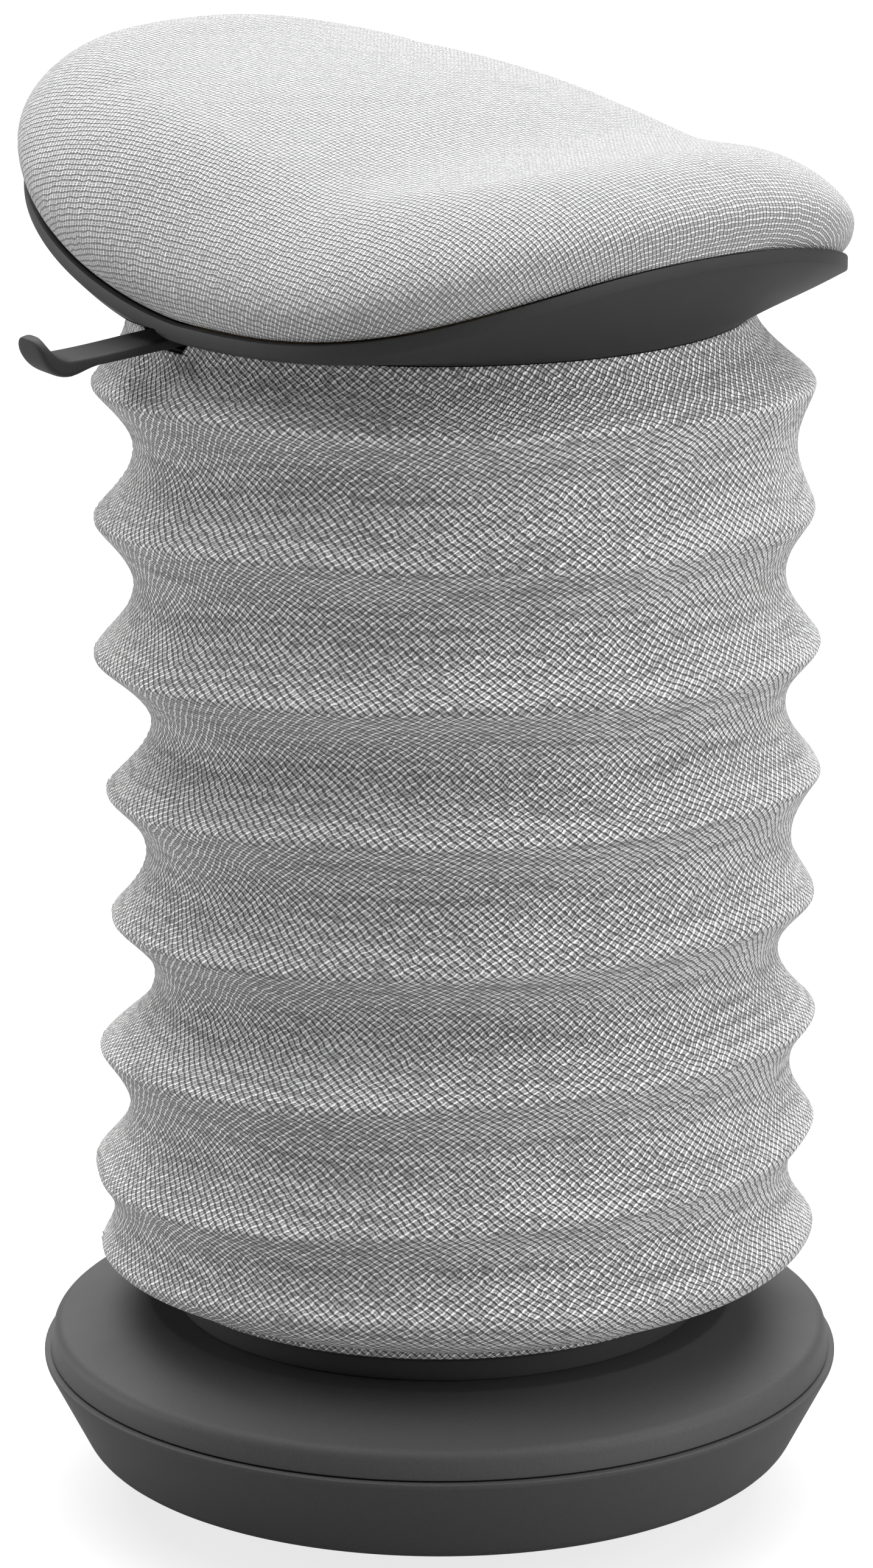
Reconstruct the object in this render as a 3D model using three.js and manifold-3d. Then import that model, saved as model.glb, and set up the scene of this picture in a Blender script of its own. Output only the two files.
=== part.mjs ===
// Wobble stool with a weighted rocking base, a gas-spring column inside a hooped fabric sleeve,
// a saddle seat and a lift lever. Millimetres, +Z up, the seat's front towards -Y,
// origin on the floor under the column. The seat is drawn at its highest setting.
import * as THREE from 'three';
import { mergeVertices } from 'three/addons/utils/BufferGeometryUtils.js';
import Module from 'manifold-3d';

const wasm = await Module();
wasm.setup();

// Shared clearances and facet counts
const gap = 0.3;
const overrun = 1;
const roundSegments = 32;
const columnSegments = 16;
const sleeveSegments = 24;
const seatSegments = 40;
const screwSegments = 8;
const cornerSteps = 3;
const rockSteps = 3;

// Base: a bowl with a rocking underside, a cover and a rubber sole
const baseRadius = 170;
const widestHeight = 61;
const cornerRadius = 151;
const cornerFillet = 9;
const rockRadius = 450;
const footFlatRadius = 45;
const bowlWall = 4;
const soleRadius = 118;
const soleThickness = 2.5;
const seamWidth = 0.7;
const rimStep = 2;
const coverWall = 3;
const coverEdgeInset = 2.5;
const shoulderInset = 4.5;
const shoulderHeight = 74;
const shoulderFillet = 5;
const shelfRadius = 125;
const shelfHeight = 86;
const skirtDepth = 8;
const skirtWall = 2.5;
const neckHeight = 8;

// Ballast and column socket
const ballastInnerRadius = 36;
const ballastOuterRadius = 118;
const ballastTopHeight = 28;
const socketWall = 6;
const socketTopHeight = 93;
const socketFlangeRadius = 58;
const socketFlangeThickness = 4;
const boltCircleRadius = 46;
const boltCount = 4;
const boltRadius = 3;
const boltHeadRadius = 5;
const boltHeadHeight = 4;
const boltDepth = 12;

// Screws that hold the cover to the bowl
const coverScrewCount = 4;
const coverScrewCircle = 134;
const coverScrewTurn = Math.PI / 4;
const coverScrewRadius = 2;
const coverScrewHeadRadius = 4;
const coverScrewHeadHeight = 2;
const coverScrewLength = 22;
const coverBossRadius = 6;
const bowlPadHeight = 4;

// Gas spring
const tubeRadius = 25;
const tubeWall = 1.5;
const tubeTopHeight = 300;
const tubeFloorHeight = 20;
const tubeFloorThickness = 4;
const bushHeight = 85;
const bushFlangeThickness = 3.5;
const cylinderRadius = 14;
const cylinderBore = 12;
const cylinderLip = 2;
const cylinderBottomHeight = 185;
const taperLength = 41;
const taperTopRadius = 13.2;
const valveBoreRadius = 8;
const rodRadius = 5;
const rodEndRadius = 4;
const rodTail = 6;
const rodShoulderRadius = 7.5;
const rodShoulderHeight = 2;
const raceRadius = 13;
const raceThickness = 1.5;
const ballRadius = 1.4;
const ballCount = 8;
const cageThickness = 1.6;
const bumperRadius = 12;
const bumperHeight = 13;
const clipThickness = 1;
const clipRadius = 8;
const washerThickness = 1.2;
const rodGuideHeight = 12;
const pistonHeight = 9;
const pistonNutHeight = 4;
const pistonNutRadius = 6.5;
const pistonClearance = 4;
const valvePinRadius = 2.5;
const valvePinStand = 4;
const valvePinLength = 25;
const valvePinTravel = 4;

// Fabric sleeve, its hoops and its end rings
const sleeveWall = 2;
const hoopRadius = 150;
const hoopWireRadius = 1.5;
const hoopWireSides = 5;
const hoopSeatDepth = 1.7;
const lowestHoopInset = 3.1;
const lowestHoopLift = 4.8;
const sleeveBottomHeight = 99;
const hemHeight = 6;
const hemRadius = 122;
const sleeveTopRadius = 129.4;
const sleeveDrift = 8;
const leanAngle = -43 * Math.PI / 180;
const hoopHeightShares = [0.036, 0.136, 0.257, 0.391, 0.518, 0.658, 0.794, 0.924];
const hoopRadiusShares = [1.017, 1.02, 1.007, 0.99, 1, 1.012, 1, 0.999];
const hoopTiltShares = [0.033, 0.07, 0.053, 0.04, 0.035, 0.018, 0.013, 0.003];
const hoopCrossTiltShares = [0.08, 0.049, 0.071, 0.062, 0.072, 0.045, 0.057, 0.053];
const hoopDriftShares = [0.95, 0.75, 0.95, 1.2, 1.25, 0.9, 0.8, 0.75];
const foldRadiusShares = [0.955, 0.915, 0.87, 0.895, 0.875, 0.897, 0.903];
const foldShoulderShares = [0.27, 0.73];
const collarRadius = 110;
const collarWall = 4;
const collarHeight = 106;
const lowerRingTop = 105.4;
const retainerOverlap = 5;
const retainerThickness = 2;
const upperRingWall = 6;
const upperRingHeight = 10;

// Seat: saddle surface, cushion, board and shell
const seatUnderside = 516;
const saddleHeight = 538.5;
const frontLength = 157;
const rearLength = 183;
const halfWidth = 142.5;
const outlinePower = 2.67;
const frontFlareShare = 0.06;
const frontRise = 18;
const frontRisePower = 3.4;
const rearRise = 46;
const rearRisePower = 1.45;
const sideDrop = 12.5;
const cushionThickness = 47;
const cushionBulge = 3.2;
const cushionRollHeight = 41.5;
const cushionRollWidth = 54;
const cushionCrown = 3;
const cushionFill = 13;
const cushionFillCentre = 25;
const cushionFillFront = 90;
const cushionFillRear = 143;
const cushionSideShare = 0.75;
const cushionRollSteps = 6;
const cushionTopShares = [0.8, 0.6, 0.4, 0.2, 0];
const boardThickness = 5;
const boardInset = 12;
const glueLine = 0.5;
const shellWall = 3.5;
const shellLipHeight = 6;
const shellLipWall = 2.5;
const shellChamfer = 1;
const seatBossRadius = 7;
const seatBossX = 52;
const seatBossY = 46;
const seatScrewRadius = 3;
const seatScrewHeadRadius = 6;
const seatScrewHeadHeight = 3.5;
const seatScrewBite = 3;

// Bracket under the seat, with its lever box and taper socket
const plateThickness = 3;
const plateHalfX = 72;
const plateHalfY = 60;
const boxHeight = 26;
const boxHalfWidth = 17.5;
const boxWall = 2.5;
const boxInner = 26;
const boxOuter = 72;
const taperSocketWall = 5;
const taperSocketLength = 34;

// Lever: a steel arm with a moulded handle, hinged across the box
const leverAngle = 168 * Math.PI / 180;
const leverPivotReach = 60;
const leverTail = 6;
const armWidth = 14;
const armThickness = 2;
const armDrop = 18.7;
const armBendReach = 66;
const armCrestReach = 108;
const armCrest = 2.9;
const knuckleRadius = 5.5;
const knuckleWidth = 20;
const pivotRadius = 3;
const pivotHeadRadius = 5;
const pivotHeadThickness = 2;
const pivotClipThickness = 1.5;

// Moulded handle: a strap that falls from its root to its lowest point and then curls up
const handleWidth = 23;
const handleStart = 116;
const handleRise = 0;
const handleDrop = 5.4;
const handleThickness = 5.4;
const handleTipThickness = 3.8;
const handleBelly = 3.3;
const handleBellyLength = 31;
const handleCornerRadius = 8.2;
const handleEdgeShare = 0.4;
const handleSteps = 5;
const handleSides = 16;
const armStations = 3;
const curlReach = 176;
const curlRadius = 13.8;
const curlAngle = 77 * Math.PI / 180;
const curlSteps = 8;

const slotWidth = 34;
const slotInnerReach = 88;
const slotOuterReach = 165;
const slotTopRise = 6.6;
const sleeveNotchWidth = 33;
const sleeveNotchDepth = 5;

// Colours, roughness and metalness of the materials
const materials = {
  fabric: new THREE.MeshStandardMaterial({ color: 0xbdbdbd, roughness: 0.95, metalness: 0 }),
  foamFabric: new THREE.MeshStandardMaterial({ color: 0xd6d6d6, roughness: 0.95, metalness: 0 }),
  plastic: new THREE.MeshStandardMaterial({ color: 0x3f3f40, roughness: 0.5, metalness: 0 }),
  rubber: new THREE.MeshStandardMaterial({ color: 0x232323, roughness: 0.85, metalness: 0 }),
  iron: new THREE.MeshStandardMaterial({ color: 0x4a4b4d, roughness: 0.75, metalness: 0.6 }),
  paintedSteel: new THREE.MeshStandardMaterial({ color: 0x1d1d1f, roughness: 0.45, metalness: 0.3 }),
  brightSteel: new THREE.MeshStandardMaterial({ color: 0xb9bbbe, roughness: 0.3, metalness: 0.9 }),
  paleResin: new THREE.MeshStandardMaterial({ color: 0xd9d6cc, roughness: 0.6, metalness: 0 }),
  plywood: new THREE.MeshStandardMaterial({ color: 0xb98f5e, roughness: 0.7, metalness: 0 }),
};

// Solids and meshes

function solid(geometry) {
  const bare = geometry.clone();
  bare.deleteAttribute('normal');
  bare.deleteAttribute('uv');
  const merged = mergeVertices(bare);
  const corners = merged.index.array;
  const triangles = [];
  for (let i = 0; i < corners.length; i += 3) {
    const [a, b, c] = [corners[i], corners[i + 1], corners[i + 2]];
    if (a !== b && b !== c && c !== a) triangles.push(a, b, c);
  }
  return new wasm.Manifold(new wasm.Mesh({
    numProp: 3,
    vertProperties: new Float32Array(merged.attributes.position.array),
    triVerts: new Uint32Array(triangles),
  }));
}

function geometryOf(manifold) {
  const mesh = manifold.getMesh();
  const geometry = new THREE.BufferGeometry();
  geometry.setAttribute('position', new THREE.BufferAttribute(mesh.vertProperties, 3));
  geometry.setIndex(new THREE.BufferAttribute(mesh.triVerts, 1));
  geometry.computeVertexNormals();
  return geometry;
}

function piece(name, manifold, material) {
  const mesh = new THREE.Mesh(geometryOf(manifold), material);
  mesh.name = name;
  return mesh;
}

// A solid of revolution about Z. The profile lists [radius, height] with its outer side going up.
function turned(profile, segments) {
  const points = profile.map(([radius, height]) => new THREE.Vector2(radius, height));
  const onAxis = profile[0][0] === 0;
  if (!onAxis) points.push(points[0].clone());
  return solid(new THREE.LatheGeometry(points, segments).rotateX(Math.PI / 2));
}

function rod(radius, bottom, top, segments) {
  return turned([[0, bottom], [radius, bottom], [radius, top], [0, top]], segments);
}

function ring(inner, outer, bottom, top, segments) {
  return turned([[inner, bottom], [outer, bottom], [outer, top], [inner, top]], segments);
}

function block(x0, x1, y0, y1, z0, z1) {
  const geometry = new THREE.BoxGeometry(x1 - x0, y1 - y0, z1 - z0);
  return solid(geometry.translate((x0 + x1) / 2, (y0 + y1) / 2, (z0 + z1) / 2));
}

// A flat outline of [reach, height] points, extruded across the lever's width.
function slab(outline, width) {
  const shape = new THREE.Shape(outline.map(([reach, height]) => new THREE.Vector2(reach, height)));
  const geometry = new THREE.ExtrudeGeometry(shape, { depth: width, bevelEnabled: false });
  return solid(geometry.translate(0, 0, -width / 2).rotateX(Math.PI / 2));
}

// A cylinder across the lever's width.
function crossRod(radius, width, reach, height, segments) {
  const geometry = new THREE.CylinderGeometry(radius, radius, width, segments);
  return solid(geometry.translate(reach, 0, height));
}

// A skin over rings of points. Each ring is a function of the angle that gives [x, y, z], and the
// rings run round the section with the outer side going up. With closed ends the first and last
// rings are single points.
function loft(rings, segments, closedEnds) {
  const positions = [];
  const starts = [];
  rings.forEach((ringAt, index) => {
    starts.push(positions.length / 3);
    const single = closedEnds && (index === 0 || index === rings.length - 1);
    const count = single ? 1 : segments;
    for (let step = 0; step < count; step += 1) positions.push(...ringAt(step / segments * 2 * Math.PI));
  });
  const last = rings.length - 1;
  const corner = (index, step) => {
    const single = closedEnds && (index === 0 || index === last);
    return starts[index] + (single ? 0 : step % segments);
  };
  const triangles = [];
  const add = (a, b, c) => {
    if (a !== b && b !== c && c !== a) triangles.push(a, b, c);
  };
  const bands = closedEnds ? last : rings.length;
  for (let index = 0; index < bands; index += 1) {
    const next = (index + 1) % rings.length;
    for (let step = 0; step < segments; step += 1) {
      add(corner(index, step), corner(index, step + 1), corner(next, step + 1));
      add(corner(index, step), corner(next, step + 1), corner(next, step));
    }
  }
  const geometry = new THREE.BufferGeometry();
  geometry.setAttribute('position', new THREE.Float32BufferAttribute(positions, 3));
  geometry.setIndex(triangles);
  return solid(geometry);
}

function moved(manifold, x, y, z) {
  return manifold.translate([x, y, z]);
}

function turnedAbout(manifold, angle) {
  return manifold.rotate([0, 0, THREE.MathUtils.radToDeg(angle)]);
}

function aroundCircle(count, radius, turn = 0) {
  return Array.from({ length: count }, (_, index) => {
    const angle = turn + index / count * 2 * Math.PI;
    return [radius * Math.cos(angle), radius * Math.sin(angle)];
  });
}

// The bore of a faceted hole in which a faceted shaft of the given radius turns freely.
function runningBore(radius, segments) {
  return (radius + gap) / Math.cos(Math.PI / segments);
}

// Screw with its head at the bottom and its shank pointing up, seen from its head's underside.
function screw(shankRadius, headRadius, headHeight, length) {
  return turned([
    [0, -headHeight], [headRadius, -headHeight], [headRadius, 0],
    [shankRadius, 0], [shankRadius, length], [0, length],
  ], screwSegments);
}

// Base

const flatSag = rockRadius - Math.sqrt(rockRadius ** 2 - footFlatRadius ** 2);

function rockHeight(radius) {
  if (radius <= footFlatRadius) return 0;
  return rockRadius - Math.sqrt(rockRadius ** 2 - radius ** 2) - flatSag;
}

// Points along the rocking surface, raised by an offset.
function rockLine(fromRadius, toRadius, offset, steps) {
  return Array.from({ length: steps + 1 }, (_, index) => {
    const radius = fromRadius + (toRadius - fromRadius) * index / steps;
    return [radius, rockHeight(radius) + offset];
  });
}

const sideSlope = (baseRadius - cornerRadius) / (widestHeight - rockHeight(cornerRadius));
const bowlRimHeight = widestHeight + rimStep;

function bowlSideRadius(height) {
  return cornerRadius + (height - rockHeight(cornerRadius)) * sideSlope;
}

// The rounded corner between the rocking surface and the side, moved inwards and up by an inset.
function bowlCorner(inset) {
  const height = rockHeight(cornerRadius);
  const low = cornerRadius - cornerFillet;
  const high = height + cornerFillet;
  const curve = new THREE.QuadraticBezierCurve(
    new THREE.Vector2(low - inset, rockHeight(low) + inset),
    new THREE.Vector2(cornerRadius - inset, height + inset),
    new THREE.Vector2(bowlSideRadius(high) - inset, high),
  );
  return curve.getPoints(cornerSteps).map((point) => [point.x, point.y]);
}

function coverScrewSeat() {
  return rockHeight(coverScrewCircle) + bowlWall / 2;
}

function baseBowl() {
  const lift = soleThickness + gap;
  const outer = [
    [0, lift],
    ...rockLine(footFlatRadius, soleRadius + gap, lift, rockSteps),
    ...rockLine(soleRadius + gap, cornerRadius - cornerFillet * 2, 0, 1),
    ...bowlCorner(0),
    [baseRadius, widestHeight],
    [baseRadius, bowlRimHeight],
  ];
  const floor = lift + bowlWall;
  const inner = [
    [bowlSideRadius(bowlRimHeight) - bowlWall, bowlRimHeight],
    ...bowlCorner(bowlWall).reverse(),
    ...rockLine(footFlatRadius, ballastOuterRadius + gap, floor, rockSteps).reverse(),
    [0, floor],
  ];
  let bowl = turned([...outer, ...inner], roundSegments);
  const seat = coverScrewSeat();
  for (const [x, y] of aroundCircle(coverScrewCount, coverScrewCircle, coverScrewTurn)) {
    const padTop = seat + bowlWall + bowlPadHeight;
    const pad = rod(coverBossRadius, seat, padTop, screwSegments);
    const hole = rod(coverScrewRadius + gap, 0, padTop + overrun, screwSegments);
    const recess = rod(coverScrewHeadRadius + gap, 0, seat + gap, screwSegments);
    bowl = bowl.add(moved(pad, x, y, 0)).subtract(moved(hole.add(recess), x, y, 0));
  }
  return bowl;
}

function baseSole() {
  return turned([
    [0, 0],
    ...rockLine(footFlatRadius, soleRadius, 0, rockSteps),
    ...rockLine(footFlatRadius, soleRadius, soleThickness, rockSteps).reverse(),
    [0, soleThickness],
  ], roundSegments);
}

const coverEdgeHeight = bowlRimHeight + seamWidth;
const coverEdgeRadius = baseRadius - coverEdgeInset;
const shoulderRadius = baseRadius - shoulderInset;
const columnHoleRadius = tubeRadius + gap + socketWall + gap;
const innerShoulder = shoulderRadius - shoulderFillet;
const coverSlope = (shelfHeight - shoulderHeight) / (innerShoulder - shelfRadius);

function coverTop(radius) {
  return shelfHeight - (radius - shelfRadius) * coverSlope;
}

function baseCover() {
  const shelfUnder = shelfHeight - coverWall;
  const skirtOuter = bowlSideRadius(bowlRimHeight - skirtDepth) - bowlWall - gap;
  const neckOuter = columnHoleRadius + coverWall;
  let cover = turned([
    [skirtOuter - skirtWall, bowlRimHeight - skirtDepth],
    [skirtOuter, bowlRimHeight - skirtDepth],
    [skirtOuter, coverEdgeHeight],
    [coverEdgeRadius, coverEdgeHeight],
    [coverEdgeRadius, coverEdgeHeight + seamWidth],
    [shoulderRadius, shoulderHeight - shoulderFillet / 2],
    [shoulderRadius - shoulderFillet / 3, shoulderHeight - shoulderFillet / 6],
    [innerShoulder, shoulderHeight],
    [shelfRadius, shelfHeight],
    [collarRadius, shelfHeight],
    [collarRadius, collarHeight],
    [collarRadius - collarWall, collarHeight],
    [collarRadius - collarWall, shelfHeight],
    [neckOuter, shelfHeight],
    [neckOuter, shelfHeight + neckHeight],
    [columnHoleRadius, shelfHeight + neckHeight],
    [columnHoleRadius, shelfUnder],
    [shelfRadius, shelfUnder],
    [skirtOuter - skirtWall, shoulderHeight - coverWall],
  ], roundSegments);
  const bossFoot = coverScrewSeat() + bowlWall + bowlPadHeight + gap;
  for (const [x, y] of aroundCircle(coverScrewCount, coverScrewCircle, coverScrewTurn)) {
    const bossHead = coverTop(coverScrewCircle + coverBossRadius) - gap;
    const boss = rod(coverBossRadius, bossFoot, bossHead, screwSegments);
    const holeTop = coverScrewSeat() + coverScrewLength + gap;
    const hole = rod(coverScrewRadius + gap, bossFoot - overrun, holeTop, screwSegments);
    cover = cover.add(moved(boss, x, y, 0)).subtract(moved(hole, x, y, 0));
  }
  return cover;
}

const bowlFloor = soleThickness + gap + bowlWall;

function ballast() {
  const bottom = bowlFloor + gap;
  let weight = turned([
    [ballastInnerRadius, bottom],
    ...rockLine(footFlatRadius, ballastOuterRadius, bottom, rockSteps),
    [ballastOuterRadius, ballastTopHeight],
    [ballastInnerRadius, ballastTopHeight],
  ], roundSegments);
  for (const [x, y] of aroundCircle(boltCount, boltCircleRadius)) {
    const hole = rod(boltRadius + gap, ballastTopHeight - boltDepth - gap, ballastTopHeight + overrun, screwSegments);
    weight = weight.subtract(moved(hole, x, y, 0));
  }
  return weight;
}

const flangeBottom = ballastTopHeight + gap;
const flangeTop = flangeBottom + socketFlangeThickness;
const socketInner = tubeRadius + gap;
const socketOuter = socketInner + socketWall;

function columnSocket() {
  let socket = turned([
    [socketInner, bowlFloor + gap],
    [socketOuter, bowlFloor + gap],
    [socketOuter, flangeBottom],
    [socketFlangeRadius, flangeBottom],
    [socketFlangeRadius, flangeTop],
    [socketOuter, flangeTop],
    [socketOuter, socketTopHeight],
    [socketInner, socketTopHeight],
  ], columnSegments);
  for (const [x, y] of aroundCircle(boltCount, boltCircleRadius)) {
    const hole = rod(boltRadius + gap, flangeBottom - overrun, flangeTop + overrun, screwSegments);
    socket = socket.subtract(moved(hole, x, y, 0));
  }
  return socket;
}

function socketBolt() {
  const shank = socketFlangeThickness + gap * 2 + boltDepth - gap;
  return turned([
    [0, -shank], [boltRadius, -shank], [boltRadius, 0],
    [boltHeadRadius, 0], [boltHeadRadius, boltHeadHeight], [0, boltHeadHeight],
  ], screwSegments);
}

// Gas spring, from the floor of its outer tube upwards

const tubeBottom = bowlFloor + gap;
const tubeInner = tubeRadius - tubeWall;
const rodHoleRadius = runningBore(rodRadius, columnSegments);

function standTube() {
  const floorTop = tubeFloorHeight + tubeFloorThickness;
  return turned([
    [tubeInner, tubeBottom],
    [tubeRadius, tubeBottom],
    [tubeRadius, tubeTopHeight],
    [tubeInner, tubeTopHeight],
    [tubeInner, floorTop],
    [rodHoleRadius, floorTop],
    [rodHoleRadius, tubeFloorHeight],
    [tubeInner, tubeFloorHeight],
  ], columnSegments);
}

const bushInner = runningBore(cylinderRadius, columnSegments);

function guideBush() {
  return turned([
    [bushInner, tubeTopHeight - bushHeight],
    [tubeInner - gap, tubeTopHeight - bushHeight],
    [tubeInner - gap, tubeTopHeight + gap],
    [tubeRadius, tubeTopHeight + gap],
    [tubeRadius, tubeTopHeight + gap + bushFlangeThickness],
    [bushInner, tubeTopHeight + gap + bushFlangeThickness],
  ], columnSegments);
}

const lowerRaceBottom = tubeFloorHeight + tubeFloorThickness + gap;
const cageMiddle = lowerRaceBottom + raceThickness + gap + ballRadius;
const upperRaceBottom = cageMiddle + ballRadius + gap;
const rodShoulderBottom = upperRaceBottom + raceThickness + gap;
const bumperBottom = rodShoulderBottom + rodShoulderHeight + gap;
const washerBottom = tubeFloorHeight - gap - washerThickness;
const clipBottom = washerBottom - gap - clipThickness;
const rodBottom = clipBottom - rodTail;
const pistonBottom = cylinderBottomHeight + cylinderLip + gap + rodGuideHeight + pistonClearance;
const pistonTop = pistonBottom + pistonHeight;
const rodTop = pistonTop + gap + pistonNutHeight + gap;

function bearingRace(bottom) {
  return ring(rodHoleRadius, raceRadius, bottom, bottom + raceThickness, columnSegments);
}

function bearingCage() {
  const middle = (rodHoleRadius + raceRadius) / 2;
  const half = cageThickness / 2;
  const inner = rodHoleRadius + gap;
  let cage = ring(inner, raceRadius - gap, cageMiddle - half, cageMiddle + half, columnSegments);
  for (const [x, y] of aroundCircle(ballCount, middle)) {
    const ball = solid(new THREE.IcosahedronGeometry(ballRadius, 0));
    cage = cage.add(moved(ball, x, y, cageMiddle));
  }
  return cage;
}

function pistonRod() {
  const grooveBottom = clipBottom - gap;
  const grooveTop = clipBottom + clipThickness + gap;
  return turned([
    [0, rodBottom],
    [rodRadius, rodBottom],
    [rodRadius, grooveBottom],
    [rodEndRadius, grooveBottom],
    [rodEndRadius, grooveTop],
    [rodRadius, grooveTop],
    [rodRadius, rodShoulderBottom],
    [rodShoulderRadius, rodShoulderBottom],
    [rodShoulderRadius, rodShoulderBottom + rodShoulderHeight],
    [rodRadius, rodShoulderBottom + rodShoulderHeight],
    [rodRadius, pistonBottom - gap],
    [rodEndRadius, pistonBottom - gap],
    [rodEndRadius, rodTop],
    [0, rodTop],
  ], columnSegments);
}

const cylinderTopHeight = seatUnderside - gap - plateThickness - boxHeight + boxWall + boxWall;
const taperBottomHeight = cylinderTopHeight - taperLength;

function gasCylinder() {
  const bottom = cylinderBottomHeight;
  return turned([
    [runningBore(rodRadius, columnSegments) + gap, bottom],
    [cylinderRadius, bottom],
    [cylinderRadius, taperBottomHeight],
    [taperTopRadius, cylinderTopHeight],
    [valveBoreRadius, cylinderTopHeight],
    [valveBoreRadius, taperBottomHeight],
    [cylinderBore, taperBottomHeight],
    [cylinderBore, bottom + cylinderLip],
    [runningBore(rodRadius, columnSegments) + gap, bottom + cylinderLip],
  ], columnSegments);
}

function rodGuide() {
  const bottom = cylinderBottomHeight + cylinderLip + gap;
  return ring(rodHoleRadius, cylinderBore - gap, bottom, bottom + rodGuideHeight, columnSegments);
}

function piston() {
  const outer = cylinderBore * Math.cos(Math.PI / columnSegments) - gap;
  return ring(rodEndRadius + gap, outer, pistonBottom, pistonTop, columnSegments);
}

function pistonNut() {
  const bottom = pistonTop + gap;
  return ring(rodEndRadius + gap, pistonNutRadius, bottom, bottom + pistonNutHeight, columnSegments);
}

const valvePinTop = cylinderTopHeight + valvePinStand;
const valvePinBottom = valvePinTop - valvePinLength;

function valveBody() {
  const bottom = taperBottomHeight + gap;
  const pinBore = runningBore(valvePinRadius, columnSegments);
  return turned([
    [0, bottom],
    [valveBoreRadius - gap, bottom],
    [valveBoreRadius - gap, cylinderTopHeight - gap],
    [pinBore, cylinderTopHeight - gap],
    [pinBore, valvePinBottom - valvePinTravel],
    [0, valvePinBottom - valvePinTravel],
  ], columnSegments);
}

// Fabric sleeve: stations from the hem up to the seat. A station is a ring that may lean and drift.

const sleeveTopHeight = seatUnderside - gap;
const sleeveLength = sleeveTopHeight - sleeveBottomHeight;

// Tilt lifts the ring towards the lean, and cross tilt lifts it a quarter turn before that.
function leaningRing(station, radius, height) {
  return (angle) => [
    radius * Math.cos(angle) + station.drift * Math.cos(leanAngle),
    radius * Math.sin(angle) + station.drift * Math.sin(leanAngle),
    height + station.tilt * Math.cos(angle - leanAngle) - station.crossTilt * Math.sin(angle - leanAngle),
  ];
}

const hoops = hoopHeightShares.map((share, index) => ({
  radius: hoopRadius * hoopRadiusShares[index],
  height: sleeveBottomHeight + sleeveLength * share,
  tilt: hoopRadius * hoopTiltShares[index],
  crossTilt: hoopRadius * hoopCrossTiltShares[index],
  drift: sleeveDrift * hoopDriftShares[index],
}));

function between(low, high, share, radius) {
  const blend = (key) => low[key] + (high[key] - low[key]) * share;
  return {
    radius,
    height: blend('height'),
    tilt: blend('tilt'),
    crossTilt: blend('crossTilt'),
    drift: blend('drift'),
    rise: 0,
  };
}

function levelStation(radius, height, rise) {
  return { radius, height, tilt: 0, crossTilt: 0, drift: 0, rise };
}

// The cloth's inner side rises under the lowest fold, which lies nearly flat.
function sleeve() {
  const stations = [
    levelStation(hemRadius, sleeveBottomHeight, 0),
    levelStation(hemRadius, sleeveBottomHeight + hemHeight, sleeveWall),
  ];
  hoops.forEach((hoop, index) => {
    stations.push({ ...hoop, rise: index === 0 ? sleeveWall : 0 });
    if (index === hoops.length - 1) return;
    for (const share of foldShoulderShares) {
      stations.push(between(hoop, hoops[index + 1], share, hoopRadius * foldRadiusShares[index]));
    }
  });
  stations.push(levelStation(sleeveTopRadius, sleeveTopHeight, 0));
  const outer = stations.map((station) => leaningRing(station, station.radius, station.height));
  const inner = stations.map((station) => (
    leaningRing(station, station.radius - sleeveWall, station.height + station.rise)
  ));
  return loft([...outer, ...inner.reverse()], sleeveSegments, false).subtract(sleeveNotch());
}

function sleeveNotch() {
  const bottom = sleeveTopHeight - sleeveNotchDepth;
  const half = sleeveNotchWidth / 2;
  const inner = sleeveTopRadius - upperRingWall * 2;
  return turnedAbout(block(inner, hoopRadius, -half, half, bottom, sleeveTopHeight + overrun), leverAngle);
}

function hoopWire(hoop, inset, lift) {
  const centre = hoop.radius - sleeveWall - hoopSeatDepth - hoopWireRadius - inset;
  const rings = Array.from({ length: hoopWireSides }, (_, side) => {
    const around = side / hoopWireSides * 2 * Math.PI;
    const radius = centre + hoopWireRadius * Math.cos(around);
    return leaningRing(hoop, radius, hoop.height + lift + hoopWireRadius * Math.sin(around));
  });
  return loft(rings, sleeveSegments, false);
}

function lowerRing() {
  const bore = runningBore(collarRadius, roundSegments);
  const hemInner = (hemRadius - sleeveWall) * Math.cos(Math.PI / sleeveSegments) - gap;
  return turned([
    [bore, shelfHeight + gap],
    [hemRadius, shelfHeight + gap],
    [hemRadius, sleeveBottomHeight - gap],
    [hemInner, sleeveBottomHeight - gap],
    [hemInner, lowerRingTop],
    [bore, lowerRingTop],
  ], roundSegments);
}

function retainer() {
  const bottom = collarHeight + gap;
  const inner = collarRadius - collarWall;
  return ring(inner, collarRadius + retainerOverlap, bottom, bottom + retainerThickness, roundSegments);
}

function upperRing() {
  const outer = (sleeveTopRadius - sleeveWall) * Math.cos(Math.PI / sleeveSegments) - gap;
  const inner = outer - upperRingWall;
  const bottom = sleeveTopHeight - upperRingHeight;
  return ring(inner, outer, bottom, sleeveTopHeight, sleeveSegments).subtract(sleeveNotch());
}

// Seat

// The seat's outline, a rounded rectangle that is a little wider in front.
function outlinePoint(angle) {
  const c = Math.cos(angle);
  const s = Math.sin(angle);
  const length = s < 0 ? frontLength : rearLength;
  const sum = (Math.abs(c) / halfWidth) ** outlinePower + (Math.abs(s) / length) ** outlinePower;
  const radius = sum ** (-1 / outlinePower);
  const y = radius * s;
  return [radius * c * (1 - frontFlareShare * y / frontLength), y];
}

// The saddle surface that the cushion's underside follows.
function saddle(x, y) {
  const front = frontRise * (Math.max(-y, 0) / frontLength) ** frontRisePower;
  const rear = rearRise * (Math.max(y, 0) / rearLength) ** rearRisePower;
  return saddleHeight + front + rear - sideDrop * (x / halfWidth) ** 2;
}

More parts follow.
